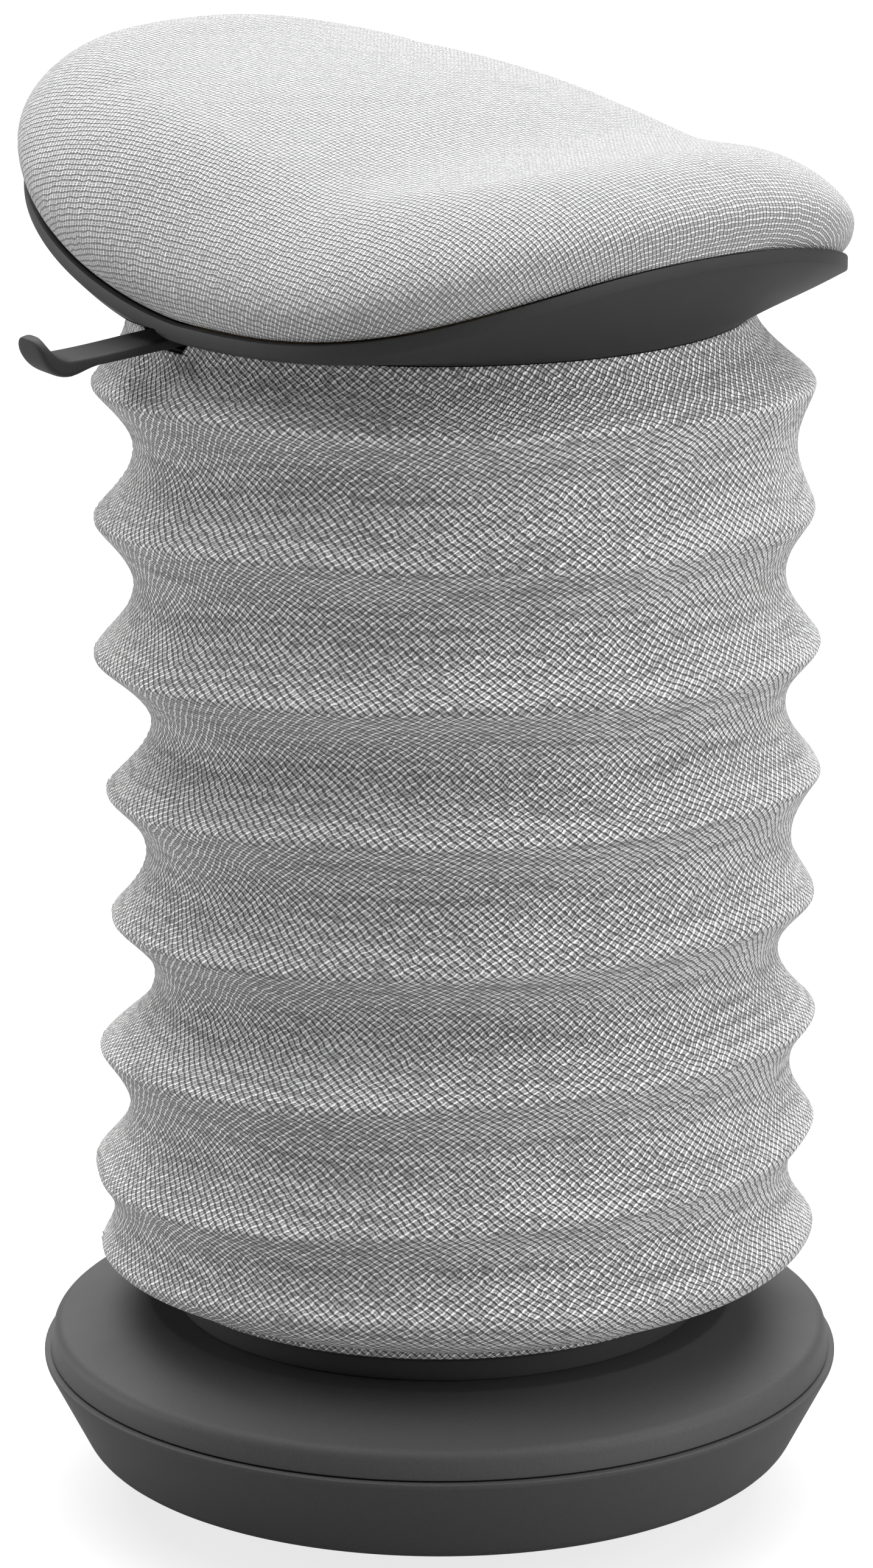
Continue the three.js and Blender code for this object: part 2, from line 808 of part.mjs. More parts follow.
// A ring that follows the outline, moved inwards by an inset and raised above the saddle.
function saddleRing(inset, rise) {
  return (angle) => {
    const [x, y] = outlinePoint(angle);
    const share = 1 - inset / Math.hypot(x, y);
    return [x * share, y * share, saddle(x * share, y * share) + rise];
  };
}

// The extra stuffing over the low middle of the saddle, which evens out the sitting surface.
function stuffing(y) {
  const ahead = y - cushionFillCentre;
  const share = Math.min(Math.abs(ahead) / (ahead < 0 ? cushionFillFront : cushionFillRear), 1);
  return cushionFill * Math.cos(share * Math.PI / 2) ** 2;
}

// A ring raised by a share of the stuffing.
function stuffedRing(ring, share) {
  return (angle) => {
    const [x, y, z] = ring(angle);
    return [x, y, z + stuffing(y) * share];
  };
}

// The same ring drawn in towards the middle, to a share of its size.
function innerRing(inset, share, rise) {
  return (angle) => {
    const [x, y] = outlinePoint(angle);
    const scale = (1 - inset / Math.hypot(x, y)) * share;
    return [x * scale, y * scale, saddle(x * scale, y * scale) + rise];
  };
}

// Rings that the cushion's underside and the board share, as shares of the way out to the outline.
const undersideShares = [0, 0.25, 0.5, 0.75];

function flatRing(radius, height) {
  return (angle) => [radius * Math.cos(angle), radius * Math.sin(angle), height];
}

function cushion() {
  const rings = undersideShares.map((share) => innerRing(0, share, gap));
  rings.push(saddleRing(boardInset, gap), saddleRing(0, gap));
  const straight = cushionThickness - cushionRollHeight;
  rings.push(saddleRing(-cushionBulge * cushionSideShare, straight / 2));
  for (let step = 0; step <= cushionRollSteps; step += 1) {
    const turn = step / cushionRollSteps * Math.PI / 2;
    const inset = cushionRollWidth * (1 - Math.cos(turn)) - cushionBulge;
    const share = Math.sin(turn);
    rings.push(stuffedRing(saddleRing(inset, straight + cushionRollHeight * share), share));
  }
  const flatInset = cushionRollWidth - cushionBulge;
  for (const share of cushionTopShares) {
    const rise = cushionThickness + cushionCrown * (1 - share ** 2);
    rings.push(stuffedRing(innerRing(flatInset, share, rise), 1));
  }
  return loft(rings, seatSegments, true);
}

function seatBosses() {
  return [[-1, -1], [1, -1], [1, 1], [-1, 1]].map(([x, y]) => [x * seatBossX, y * seatBossY]);
}

function boardUnderside(x, y) {
  return saddle(x, y) - boardThickness;
}

function seatBoard() {
  let board = loft([
    ...undersideShares.map((share) => innerRing(0, share, -boardThickness)),
    saddleRing(boardInset, -boardThickness),
    saddleRing(boardInset, -glueLine),
    ...undersideShares.map((share) => innerRing(0, share, -glueLine)).reverse(),
  ], seatSegments, true);
  for (const [x, y] of seatBosses()) {
    const top = boardUnderside(x, y) + seatScrewBite + gap;
    const hole = rod(seatScrewRadius + gap, seatUnderside, top, screwSegments);
    board = board.subtract(moved(hole, x, y, 0));
  }
  return board;
}

// A boss ends under the lowest point of the board above it.
function bossTop(x, y) {
  const reach = seatBossRadius + overrun;
  const around = aroundCircle(screwSegments, reach).map(([dx, dy]) => boardUnderside(x + dx, y + dy));
  return Math.min(...around) - gap * 2;
}

function seatShell() {
  const inside = seatUnderside + shellWall;
  const wallRadius = sleeveTopRadius + shellChamfer;
  let shell = loft([
    flatRing(0, seatUnderside),
    flatRing(sleeveTopRadius, seatUnderside),
    flatRing(wallRadius, seatUnderside + shellChamfer),
    saddleRing(0, -shellLipHeight),
    saddleRing(0, 0),
    saddleRing(shellLipWall, 0),
    saddleRing(shellLipWall, shellWall - shellLipHeight),
    flatRing(wallRadius - shellWall, inside),
    flatRing(0, inside),
  ], seatSegments, true);
  for (const [x, y] of seatBosses()) {
    const boss = rod(seatBossRadius, seatUnderside + shellWall / 2, bossTop(x, y), screwSegments);
    const hole = rod(seatScrewRadius + gap, seatUnderside - overrun, bossTop(x, y) + overrun, screwSegments);
    shell = shell.add(moved(boss, x, y, 0)).subtract(moved(hole, x, y, 0));
  }
  const half = slotWidth / 2;
  const top = seatUnderside + slotTopRise;
  const slot = block(slotInnerReach, slotOuterReach, -half, half, seatUnderside - overrun, top);
  return shell.subtract(turnedAbout(slot, leverAngle));
}

function seatScrew(x, y) {
  const headBottom = seatUnderside - gap - plateThickness - gap;
  return moved(screw(
    seatScrewRadius, seatScrewHeadRadius, seatScrewHeadHeight, boardUnderside(x, y) + seatScrewBite - headBottom,
  ), x, y, headBottom);
}

// Bracket and lever, drawn along +X and then turned to the lever's direction

const plateTop = seatUnderside - gap;
const plateBottom = plateTop - plateThickness;
const boxBottom = plateBottom - boxHeight;
const armHeight = seatUnderside - armDrop;

function seatBracket() {
  const box = block(-boxInner, boxOuter, -boxHalfWidth, boxHalfWidth, boxBottom, plateBottom + overrun);
  const innerHalf = boxHalfWidth - boxWall;
  const hollow = block(
    boxWall - boxInner, boxOuter + overrun, -innerHalf, innerHalf, boxBottom + boxWall, plateBottom,
  );
  const socketBottom = boxBottom - taperSocketLength;
  const slope = (cylinderRadius - taperTopRadius) / taperLength;
  const boreAt = (height) => taperTopRadius + gap + (cylinderTopHeight - height) * slope;
  const socketRadius = cylinderRadius + gap + taperSocketWall;
  const socket = rod(socketRadius, socketBottom, boxBottom + boxWall, columnSegments);
  const bore = turned([
    [0, socketBottom - overrun],
    [boreAt(socketBottom - overrun), socketBottom - overrun],
    [boreAt(boxBottom + boxWall + overrun), boxBottom + boxWall + overrun],
    [0, boxBottom + boxWall + overrun],
  ], columnSegments);
  const pivotHole = crossRod(
    pivotRadius + gap, boxHalfWidth * 2 + overrun * 2, leverPivotReach, armHeight, columnSegments,
  );
  const mechanism = turnedAbout(box.subtract(hollow).subtract(pivotHole), leverAngle);
  let bracket = block(-plateHalfX, plateHalfX, -plateHalfY, plateHalfY, plateBottom, plateTop);
  bracket = bracket.add(mechanism).add(socket).subtract(bore);
  for (const [x, y] of seatBosses()) {
    const hole = rod(seatScrewRadius + gap, plateBottom - overrun, plateTop + overrun, screwSegments);
    bracket = bracket.subtract(moved(hole, x, y, 0));
  }
  return bracket;
}

// The strip's outline: a line of [reach, height] points thickened upwards and downwards.
function strip(points, thickness) {
  const half = thickness / 2;
  const upper = points.map(([reach, height]) => [reach, height + half]).reverse();
  const lower = points.map(([reach, height]) => [reach, height - half]);
  return [...lower, ...upper];
}

// The handle's centre line as [reach, height]: an easy fall, then an arc.
function handleLine() {
  const fall = Array.from({ length: handleSteps }, (_, step) => {
    const share = step / handleSteps;
    const eased = (share + share * share * (3 - 2 * share)) / 2;
    const reach = handleStart + (curlReach - handleStart) * share;
    return [reach, seatUnderside + handleRise - (handleRise + handleDrop) * eased];
  });
  const curl = Array.from({ length: curlSteps + 1 }, (_, step) => {
    const angle = step / curlSteps * curlAngle;
    const rise = curlRadius * (1 - Math.cos(angle)) - handleDrop;
    return [curlReach + curlRadius * Math.sin(angle), seatUnderside + rise];
  });
  return [...fall, ...curl];
}

const armEnd = handleLine().slice(0, armStations);

function leverArm() {
  const armLine = [
    [-leverTail, armHeight],
    [armBendReach, armHeight],
    [armCrestReach, seatUnderside + armCrest],
    ...armEnd,
  ];
  const arm = slab(strip(armLine, armThickness), armWidth);
  const knuckle = crossRod(knuckleRadius, knuckleWidth, leverPivotReach, armHeight, columnSegments);
  const bore = crossRod(
    runningBore(pivotRadius, columnSegments), knuckleWidth + overrun, leverPivotReach, armHeight, columnSegments,
  );
  return arm.add(knuckle).subtract(bore);
}

// One ring of the handle's skin, square to its centre line. The strap narrows round its corners,
// thins towards the tip and has a fuller outer side round the curl.
function handleRing(line, index) {
  const [reach, height] = line[index];
  const [beforeReach, beforeHeight] = line[Math.max(index - 1, 0)];
  const [afterReach, afterHeight] = line[Math.min(index + 1, line.length - 1)];
  const span = Math.hypot(afterReach - beforeReach, afterHeight - beforeHeight);
  const along = [(afterReach - beforeReach) / span, (afterHeight - beforeHeight) / span];
  const left = line.slice(index).reduce((sum, point, step, rest) => (
    step === 0 ? 0 : sum + Math.hypot(point[0] - rest[step - 1][0], point[1] - rest[step - 1][1])
  ), 0);
  const short = Math.max(handleCornerRadius - left, 0);
  const cut = handleCornerRadius - Math.sqrt(handleCornerRadius ** 2 - short ** 2);
  const halfWidth = handleWidth / 2 - cut;
  const share = index / (line.length - 1);
  const halfThickness = (handleThickness + (handleTipThickness - handleThickness) * share) / 2;
  const belly = handleBelly * Math.sin(Math.min(left / handleBellyLength, 1) * Math.PI) ** 2;
  const flattened = (value) => Math.sign(value) * Math.abs(value) ** handleEdgeShare;
  return (angle) => {
    const side = flattened(Math.sin(angle));
    const offset = halfThickness * side + belly * Math.min(side, 0);
    return [reach - along[1] * offset, halfWidth * flattened(Math.cos(angle)), height + along[0] * offset];
  };
}

function leverHandle() {
  const line = handleLine();
  const rings = line.map((_, index) => handleRing(line, index));
  const first = () => [line[0][0], 0, line[0][1]];
  const last = () => [line[line.length - 1][0], 0, line[line.length - 1][1]];
  const handle = loft([first, ...rings, last], handleSides, true);
  const [endReach, endHeight] = armEnd[armEnd.length - 1];
  const pocketLine = [[armCrestReach, seatUnderside + armCrest], ...armEnd, [endReach + gap, endHeight]];
  return handle.subtract(slab(strip(pocketLine, armThickness + gap * 2), armWidth + gap * 2));
}

function leverPin() {
  const half = boxHalfWidth + gap;
  const shank = crossRod(pivotRadius, half * 2 + pivotClipThickness * 2, leverPivotReach, armHeight, columnSegments);
  const head = crossRod(pivotHeadRadius, pivotHeadThickness, leverPivotReach, armHeight, columnSegments);
  return shank.add(moved(head, 0, half + pivotHeadThickness / 2, 0));
}

function leverPinClip() {
  const clip = crossRod(pivotHeadRadius, pivotClipThickness, leverPivotReach, armHeight, columnSegments);
  const hole = crossRod(pivotRadius + gap, pivotClipThickness + overrun, leverPivotReach, armHeight, columnSegments);
  return moved(clip.subtract(hole), 0, -(boxHalfWidth + gap + pivotClipThickness / 2), 0);
}

// Assembly

const baseGroup = new THREE.Group();
baseGroup.add(
  piece('base_bowl', baseBowl(), materials.plastic),
  piece('base_sole', baseSole(), materials.rubber),
  piece('base_cover', baseCover(), materials.plastic),
  piece('base_ballast', ballast(), materials.iron),
  piece('column_socket', columnSocket(), materials.paintedSteel),
  piece('stand_tube', standTube(), materials.paintedSteel),
  piece('guide_bush', guideBush(), materials.paleResin),
  piece('bearing_race_lower', bearingRace(lowerRaceBottom), materials.brightSteel),
  piece('sleeve_retainer', retainer(), materials.plastic),
);
aroundCircle(boltCount, boltCircleRadius).forEach(([x, y], index) => {
  const bolt = piece(`socket_bolt_${index + 1}`, socketBolt(), materials.brightSteel);
  bolt.position.set(x, y, flangeTop + gap);
  baseGroup.add(bolt);
});
aroundCircle(coverScrewCount, coverScrewCircle, coverScrewTurn).forEach(([x, y], index) => {
  const shape = screw(coverScrewRadius, coverScrewHeadRadius, coverScrewHeadHeight, coverScrewLength);
  const mesh = piece(`cover_screw_${index + 1}`, shape, materials.brightSteel);
  mesh.position.set(x, y, coverScrewSeat());
  baseGroup.add(mesh);
});

const swivelGroup = new THREE.Group();
swivelGroup.add(
  piece('piston_rod', pistonRod(), materials.brightSteel),
  piece('rod_clip', ring(
    rodEndRadius + gap, clipRadius, clipBottom, clipBottom + clipThickness, columnSegments,
  ), materials.brightSteel),
  piece('rod_washer', ring(
    rodHoleRadius, raceRadius, washerBottom, washerBottom + washerThickness, columnSegments,
  ), materials.brightSteel),
  piece('bearing_cage', bearingCage(), materials.brightSteel),
  piece('bearing_race_upper', bearingRace(upperRaceBottom), materials.brightSteel),
  piece('rod_bumper', ring(
    rodRadius + gap, bumperRadius, bumperBottom, bumperBottom + bumperHeight, columnSegments,
  ), materials.rubber),
  piece('piston', piston(), materials.paleResin),
  piece('piston_nut', pistonNut(), materials.brightSteel),
  piece('sleeve_lower_ring', lowerRing(), materials.plastic),
  piece('sleeve_fabric', sleeve(), materials.fabric),
);
hoops.forEach((hoop, index) => {
  const [inset, lift] = index === 0 ? [lowestHoopInset, lowestHoopLift] : [0, 0];
  swivelGroup.add(piece(`sleeve_hoop_${index + 1}`, hoopWire(hoop, inset, lift), materials.brightSteel));
});

const leverGroup = new THREE.Group();
leverGroup.rotation.z = leverAngle;
leverGroup.add(
  piece('lever_arm', leverArm(), materials.paintedSteel),
  piece('lever_handle', leverHandle(), materials.plastic),
  piece('lever_pin', leverPin(), materials.brightSteel),
  piece('lever_pin_clip', leverPinClip(), materials.brightSteel),
);

const seatGroup = new THREE.Group();
seatGroup.add(
  piece('gas_cylinder', gasCylinder(), materials.paintedSteel),
  piece('rod_guide', rodGuide(), materials.paleResin),
  piece('valve_body', valveBody(), materials.brightSteel),
  piece('release_pin', rod(valvePinRadius, valvePinBottom, valvePinTop, columnSegments), materials.brightSteel),
  piece('sleeve_upper_ring', upperRing(), materials.plastic),
  piece('seat_bracket', seatBracket(), materials.paintedSteel),
  piece('seat_shell', seatShell(), materials.plastic),
  piece('seat_board', seatBoard(), materials.plywood),
  piece('seat_cushion', cushion(), materials.foamFabric),
  leverGroup,
);
seatBosses().forEach(([x, y], index) => {
  seatGroup.add(piece(`seat_screw_${index + 1}`, seatScrew(x, y), materials.brightSteel));
});

const stool = new THREE.Group();
stool.add(baseGroup, swivelGroup, seatGroup);

export default stool;
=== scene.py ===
import math
import bpy
import numpy as np
from mathutils import Matrix, Vector


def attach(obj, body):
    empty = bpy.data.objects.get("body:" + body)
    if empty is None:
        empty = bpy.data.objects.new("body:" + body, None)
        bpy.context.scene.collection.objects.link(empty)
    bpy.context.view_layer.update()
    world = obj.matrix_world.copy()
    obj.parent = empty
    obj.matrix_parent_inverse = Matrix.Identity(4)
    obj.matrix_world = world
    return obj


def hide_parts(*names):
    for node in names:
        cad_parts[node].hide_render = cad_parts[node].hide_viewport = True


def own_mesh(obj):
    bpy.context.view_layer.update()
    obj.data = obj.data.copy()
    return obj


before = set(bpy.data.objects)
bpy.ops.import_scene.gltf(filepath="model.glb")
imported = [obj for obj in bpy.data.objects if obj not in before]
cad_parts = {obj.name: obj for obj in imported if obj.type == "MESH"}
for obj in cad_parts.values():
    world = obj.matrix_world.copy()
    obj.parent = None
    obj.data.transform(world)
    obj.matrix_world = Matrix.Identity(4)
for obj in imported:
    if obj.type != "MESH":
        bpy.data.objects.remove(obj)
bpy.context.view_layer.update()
mm = 0.001

# Wobble stool: a saddle seat on a gas spring, in a hooped fabric sleeve on a rounded, weighted base.
# Sizes are in millimetres, in the frame of the CAD model, and become metres where a mesh is made.

# Camera, a little above the stool and off its front corner
photo_height = 2576
focal_pixels = 10108
axis_offset_pixels = 5
sensor = 36
camera_azimuth = math.radians(-43)
camera_elevation = math.radians(15.3)
camera_distance = 2590
camera_target_height = 311
camera_reach = 100000

# Light: each lamp's direction to the picture's right, away and up, its strength and its spread in
# degrees. The floor's glow is what the camera sees of it beside the lamps' light.
lamps = {
    "top_lamp": ((0, 0, 1), 3.2, 70),
    "back_lamp": ((0, 0.7, 1), 3.8, 70),
    "side_lamp": ((1, -0.35, 0.3), 3.2, 60),
    "rim_lamp": ((-1, 0.3, 0.2), 1.9, 40),
}
world_strength = 0.06
floor_half_width = 30000
floor_glow = 0.78

# Seat: outline, saddle surface, cushion and shell. The saddle rises by a power to the front and rear
# and falls to the sides. The cushion tucks in below its widest line and rolls over above it.
seat_underside = 516
saddle_height = 538.5
front_length = 157
rear_length = 183
half_width = 142.5
outline_power = 2.67
front_flare_share = 0.06
front_rise = 18
front_rise_power = 3.4
rear_rise = 46
rear_rise_power = 1.45
side_drop = 12.5
cushion_thickness = 47
cushion_bulge = 3.8
cushion_roll_width = 54.6
cushion_roll_power = 0.8
cushion_crown = 3
cushion_fill = 13
cushion_fill_centre = 25
cushion_fill_front = 90
cushion_fill_rear = 143
cushion_gap = 0.3
cushion_tuck_width = 7.5
cushion_tuck_height = 13
cushion_swell = 1
cushion_pressure = 8
cushion_cloth_turn = math.radians(43)
cushion_columns = 128
cushion_under_share = 0.9
cushion_under_rows = 10
cushion_tuck_rows = 9
cushion_roll_rows = 19
cushion_top_rows = 15
cushion_steps = 20
shell_wall = 3.5
shell_lip_height = 6
shell_lip_wall = 2.5
shell_bottom_radius = 129.4
shell_bottom_fillet = 1
fillet_middle_out = 0.4
fillet_middle_up = 0.3
shell_edge_radius = 0.8
shell_foot_proud = 0.25
shell_proud = 0.3
shell_belly = 1.6
shell_rows = 17
shell_columns = 256

# Sleeve: hoops, the folds between them, the hem and the seat end
sleeve_bottom = 99
sleeve_top = 515.7
sleeve_top_radius = 129.4
sleeve_cloth = 0.9
hem_radius = 122
hem_height = 6
hem_rows = 15
# The rolled edge of the hem, from inside to its top: how far out from hem_radius, and how high
hem_roll = [(-1.2, 0.4), (-0.6, 0), (0, 0.8), (0.5, 2.7), (0.2, 4.8), (-0.7, 5.82)]
hem_stitch_row = 4
hoop_radius = 150
hoop_wire_radius = 1.5
wire_columns = 12
hoop_gap = 0.3
sleeve_drift = 8
lean_angle = math.radians(-43)
# Hoop by hoop from the hem up, as read from the ridges of the sleeve's outline: shares of the sleeve's
# length, of hoop_radius and of sleeve_drift, and how much a hoop rises along and across lean_angle.
# The folds between them have their own radius and drift.
hoop_height_shares = [0.036, 0.136, 0.257, 0.391, 0.518, 0.658, 0.794, 0.924]
hoop_radius_shares = [1.017, 1.02, 1.007, 0.99, 1, 1.012, 1, 0.999]
hoop_tilt_shares = [0.033, 0.07, 0.053, 0.04, 0.035, 0.018, 0.013, 0.003]
hoop_cross_tilt_shares = [0.08, 0.049, 0.071, 0.062, 0.072, 0.045, 0.057, 0.053]
hoop_drift_shares = [0.95, 0.75, 0.95, 1.2, 1.25, 0.9, 0.8, 0.75]
fold_radius_shares = [0.961, 0.936, 0.875, 0.906, 0.884, 0.907, 0.918]
fold_drift_shares = [-0.24, 0.22, 0.29, 0.3, 0.46, 0.19, 0.59]
fold_crest_softness = 0.13
# Unevenness of hung cloth: slow waves round each hoop and fold, and slanting wrinkles all over
sleeve_seed = 7
wander_waves = (2, 7)
hoop_radius_wander = 0.7
hoop_height_wander = 1.2
fold_wander = 1.2
wrinkle_depth = 0.3
wrinkle_count = 26
wrinkle_waves = (4, 22)
wrinkle_climb = 30
wrinkle_fade = 9
weakest_wave = 0.3
seam_angle = math.radians(137)
stitch_pitch = 3.4
stitch_length = 2.6
stitch_thickness = 0.7
stitch_columns = 8
stitch_rings = 6
sleeve_columns = 240
fold_rows = 20

# Base: bowl, cover and sole
base_radius = 170
base_columns = 192
widest_height = 61
corner_radius = 151
corner_fillet = 12.6
edge_fillet = 3
rock_radius = 450
foot_flat_radius = 45
bowl_wall = 4
rim_step = 2
rim_fillet = 0.6
base_gap = 0.3
sole_radius = 118
sole_thickness = 2.5
sole_groove_pitch = 7
sole_groove_depth = 0.8
sole_groove_slope = 1
sole_groove_width = 3.4
sole_rows = 12
seam_width = 0.7
cover_edge_inset = 2.5
cover_edge_fillet = 0.4
skirt_wall = 2.5
skirt_depth = 8
shoulder_inset = 4.5
shoulder_height = 74
shoulder_crown = 0.6
shoulder_fillet = 6
shelf_radius = 125
shelf_height = 86
shelf_fillet = 8
collar_radius = 110
collar_height = 106
collar_wall = 4
collar_foot_fillet = 1.5
collar_fillet = 1
cover_wall = 3
neck_radius = 36
screw_count = 4
screw_circle = 134
screw_turn = math.radians(45)
screw_head_radius = 4
screw_head_height = 2
screw_socket_radius = 1.6
screw_socket_depth = 1.2
screw_well_depth = 4.5
screw_sink = 0.4
screw_crown_share = 0.85
screw_chamfer_share = 0.3
screw_columns = 32

# Ring that carries the hem: inside it the collar, and below it the shelf of the base's cover
ring_bore_gap = 0.5
ring_waist_inset = 9
ring_waist_fillet = 2
ring_flange = 3
ring_rim_inset = 1.5
ring_groove_inset = 3
ring_bead_height = 5.5
ring_fillet = 0.6

# Lever, along a line from the column at the lever's angle
lever_angle = math.radians(168)
handle_width = 23
handle_start = 116
handle_drop = 5.4
handle_thickness = 5.4
handle_tip_thickness = 3.8
handle_belly = 3.3
handle_belly_length = 31
handle_corner_radius = 8.2
handle_edge_share = 0.4
handle_rows = 28
curl_rows = 24
handle_columns = 48
curl_reach = 176
curl_radius = 13.8
curl_angle = math.radians(77)
slot_width = 34
slot_inner_reach = 88
slot_outer_reach = 165
slot_top_rise = 6.6
slot_overcut = 3
slot_fillet = 2
sleeve_notch_width = 33
sleeve_notch_depth = 5.5
sleeve_notch_ease = 4

# Where nearly all values of a noise lie
noise_low = 0.3
noise_high = 0.7

# Cloth: the drift of its threads, the streaks of uneven yarn, how far up the weave the light threads
# begin and how far they have the whole of it, and how high they stand
cloth_drift_size = 5.26
streak_length = 83
streak_height = 3.85
fine_weave_share = 0.75
float_start = -1.1
float_full = 0.8
thread_relief = 2.2
cloth_roughness = 0.92
cloth_sheen = 0.25
cloth_sheen_roughness = 0.5

# Other finishes: the clouds in their gloss, and the shares of colour at a pale and at a deep speck
cloud_size = 71
cloud_gloss = 0.05
cloud_dullness = 0.07
pale_speck = 1.08
deep_speck = 0.93
speck_low = 0.32
speck_high = 0.68
grain_strength = 0.6

# Meshes: the distance within which points are one, and the angles from which an edge is sharp
weld_distance = 0.01
sharp_angle = math.radians(35)
handle_sharp_angle = math.radians(50)


# Camera, lamps, world and floor

def link(thing):
    bpy.context.collection.objects.link(thing)
    return thing


def make_camera():
    data = bpy.data.cameras.new("camera")
    data.sensor_width = sensor
    data.lens = focal_pixels / photo_height * sensor
    data.shift_x = -axis_offset_pixels / photo_height
    data.clip_end = camera_reach * mm
    camera = link(bpy.data.objects.new("camera", data))
    level = math.cos(camera_elevation)
    back = Vector((
        math.sin(camera_azimuth) * level,
        -math.cos(camera_azimuth) * level,
        math.sin(camera_elevation),
    ))
    camera.location = (Vector((0, 0, camera_target_height)) + back * camera_distance) * mm
    camera.rotation_mode = "QUATERNION"
    camera.rotation_quaternion = (-back).to_track_quat("-Z", "Y")
    bpy.context.scene.camera = camera


def make_lamp(name, direction, strength, spread):
    """A broad, far lamp. The picture's right and away lie level, turned with the camera."""
    data = bpy.data.lights.new(name, "SUN")
    data.energy = strength
    data.angle = math.radians(spread)
    lamp = link(bpy.data.objects.new(name, data))
    right, away, up = direction
    c, s = math.cos(camera_azimuth), math.sin(camera_azimuth)
    towards = Vector((c * right - s * away, s * right + c * away, up))
    lamp.rotation_mode = "QUATERNION"
    lamp.rotation_quaternion = (-towards).to_track_quat("-Z", "Y")


def add(tree, kind, inputs=None, **settings):
    """Adds a node. Its inputs, by name or number, take a value or another node's output."""
    node = tree.nodes.new(kind)
    for name, value in settings.items():
        setattr(node, name, value)
    for key, value in (inputs or {}).items():
        if isinstance(value, bpy.types.NodeSocket):
            tree.links.new(value, node.inputs[key])
        else:
            node.inputs[key].default_value = value
    return node


def srgb(code):
    """A written sRGB hex colour as the linear colour that a socket takes."""
    parts = [int(code[at:at + 2], 16) / 255 for at in (1, 3, 5)]
    return [p / 12.92 if p <= 0.04045 else ((p + 0.055) / 1.055) ** 2.4 for p in parts] + [1]


def light_the_world(strength):
    """White to the camera, and a faint light all round for everything else."""
    world = bpy.data.worlds.new("studio")
    world.use_nodes = True
    tree = world.node_tree
    path = add(tree, "ShaderNodeLightPath")
    seen = add(tree, "ShaderNodeMath", {0: path.outputs["Is Camera Ray"], 1: 1 - strength, 2: strength},
               operation="MULTIPLY_ADD")
    tree.links.new(seen.outputs[0], tree.nodes["Background"].inputs["Strength"])
    tree.nodes["Background"].inputs["Color"].default_value = srgb("#ffffff")
    bpy.context.scene.world = world


def make_floor():
    """A plain pale floor. The camera sees it nearly white, and it gives the stool little light back."""
    half = floor_half_width * mm
    mesh = bpy.data.meshes.new("floor")
    corners = [(-half, -half, 0), (half, -half, 0), (half, half, 0), (-half, half, 0)]
    mesh.from_pydata(corners, [], [(0, 1, 2, 3)])
    floor = link(bpy.data.objects.new("floor", mesh))
    paint = bpy.data.materials.new("pale_floor")
    paint.use_nodes = True
    tree = paint.node_tree
    tree.nodes.clear()
    path = add(tree, "ShaderNodeLightPath")
    seen = add(tree, "ShaderNodeBsdfDiffuse", {"Color": srgb("#7a7a7a")})
    glow = add(tree, "ShaderNodeEmission", {"Color": srgb("#ffffff"), "Strength": floor_glow})
    bright = add(tree, "ShaderNodeAddShader", {0: seen.outputs[0], 1: glow.outputs[0]})
    dull = add(tree, "ShaderNodeBsdfDiffuse", {"Color": srgb("#a4a4a4")})
    both = add(tree, "ShaderNodeMixShader",
               {0: path.outputs["Is Camera Ray"], 1: dull.outputs[0], 2: bright.outputs[0]})
    add(tree, "ShaderNodeOutputMaterial", {"Surface": both.outputs[0]})
    mesh.materials.append(paint)


# Materials

def new_material(name, code, roughness, **plain):
    """A material and its shader. The plain sockets hold one value all over the piece."""
    made = bpy.data.materials.new(name)
    made.use_nodes = True
    shader = made.node_tree.nodes["Principled BSDF"]
    shader.inputs["Base Color"].default_value = srgb(code)
    shader.inputs["Roughness"].default_value = roughness
    for key, value in plain.items():
        shader.inputs[key.replace("_", " ")].default_value = value
    return made, made.node_tree, shader


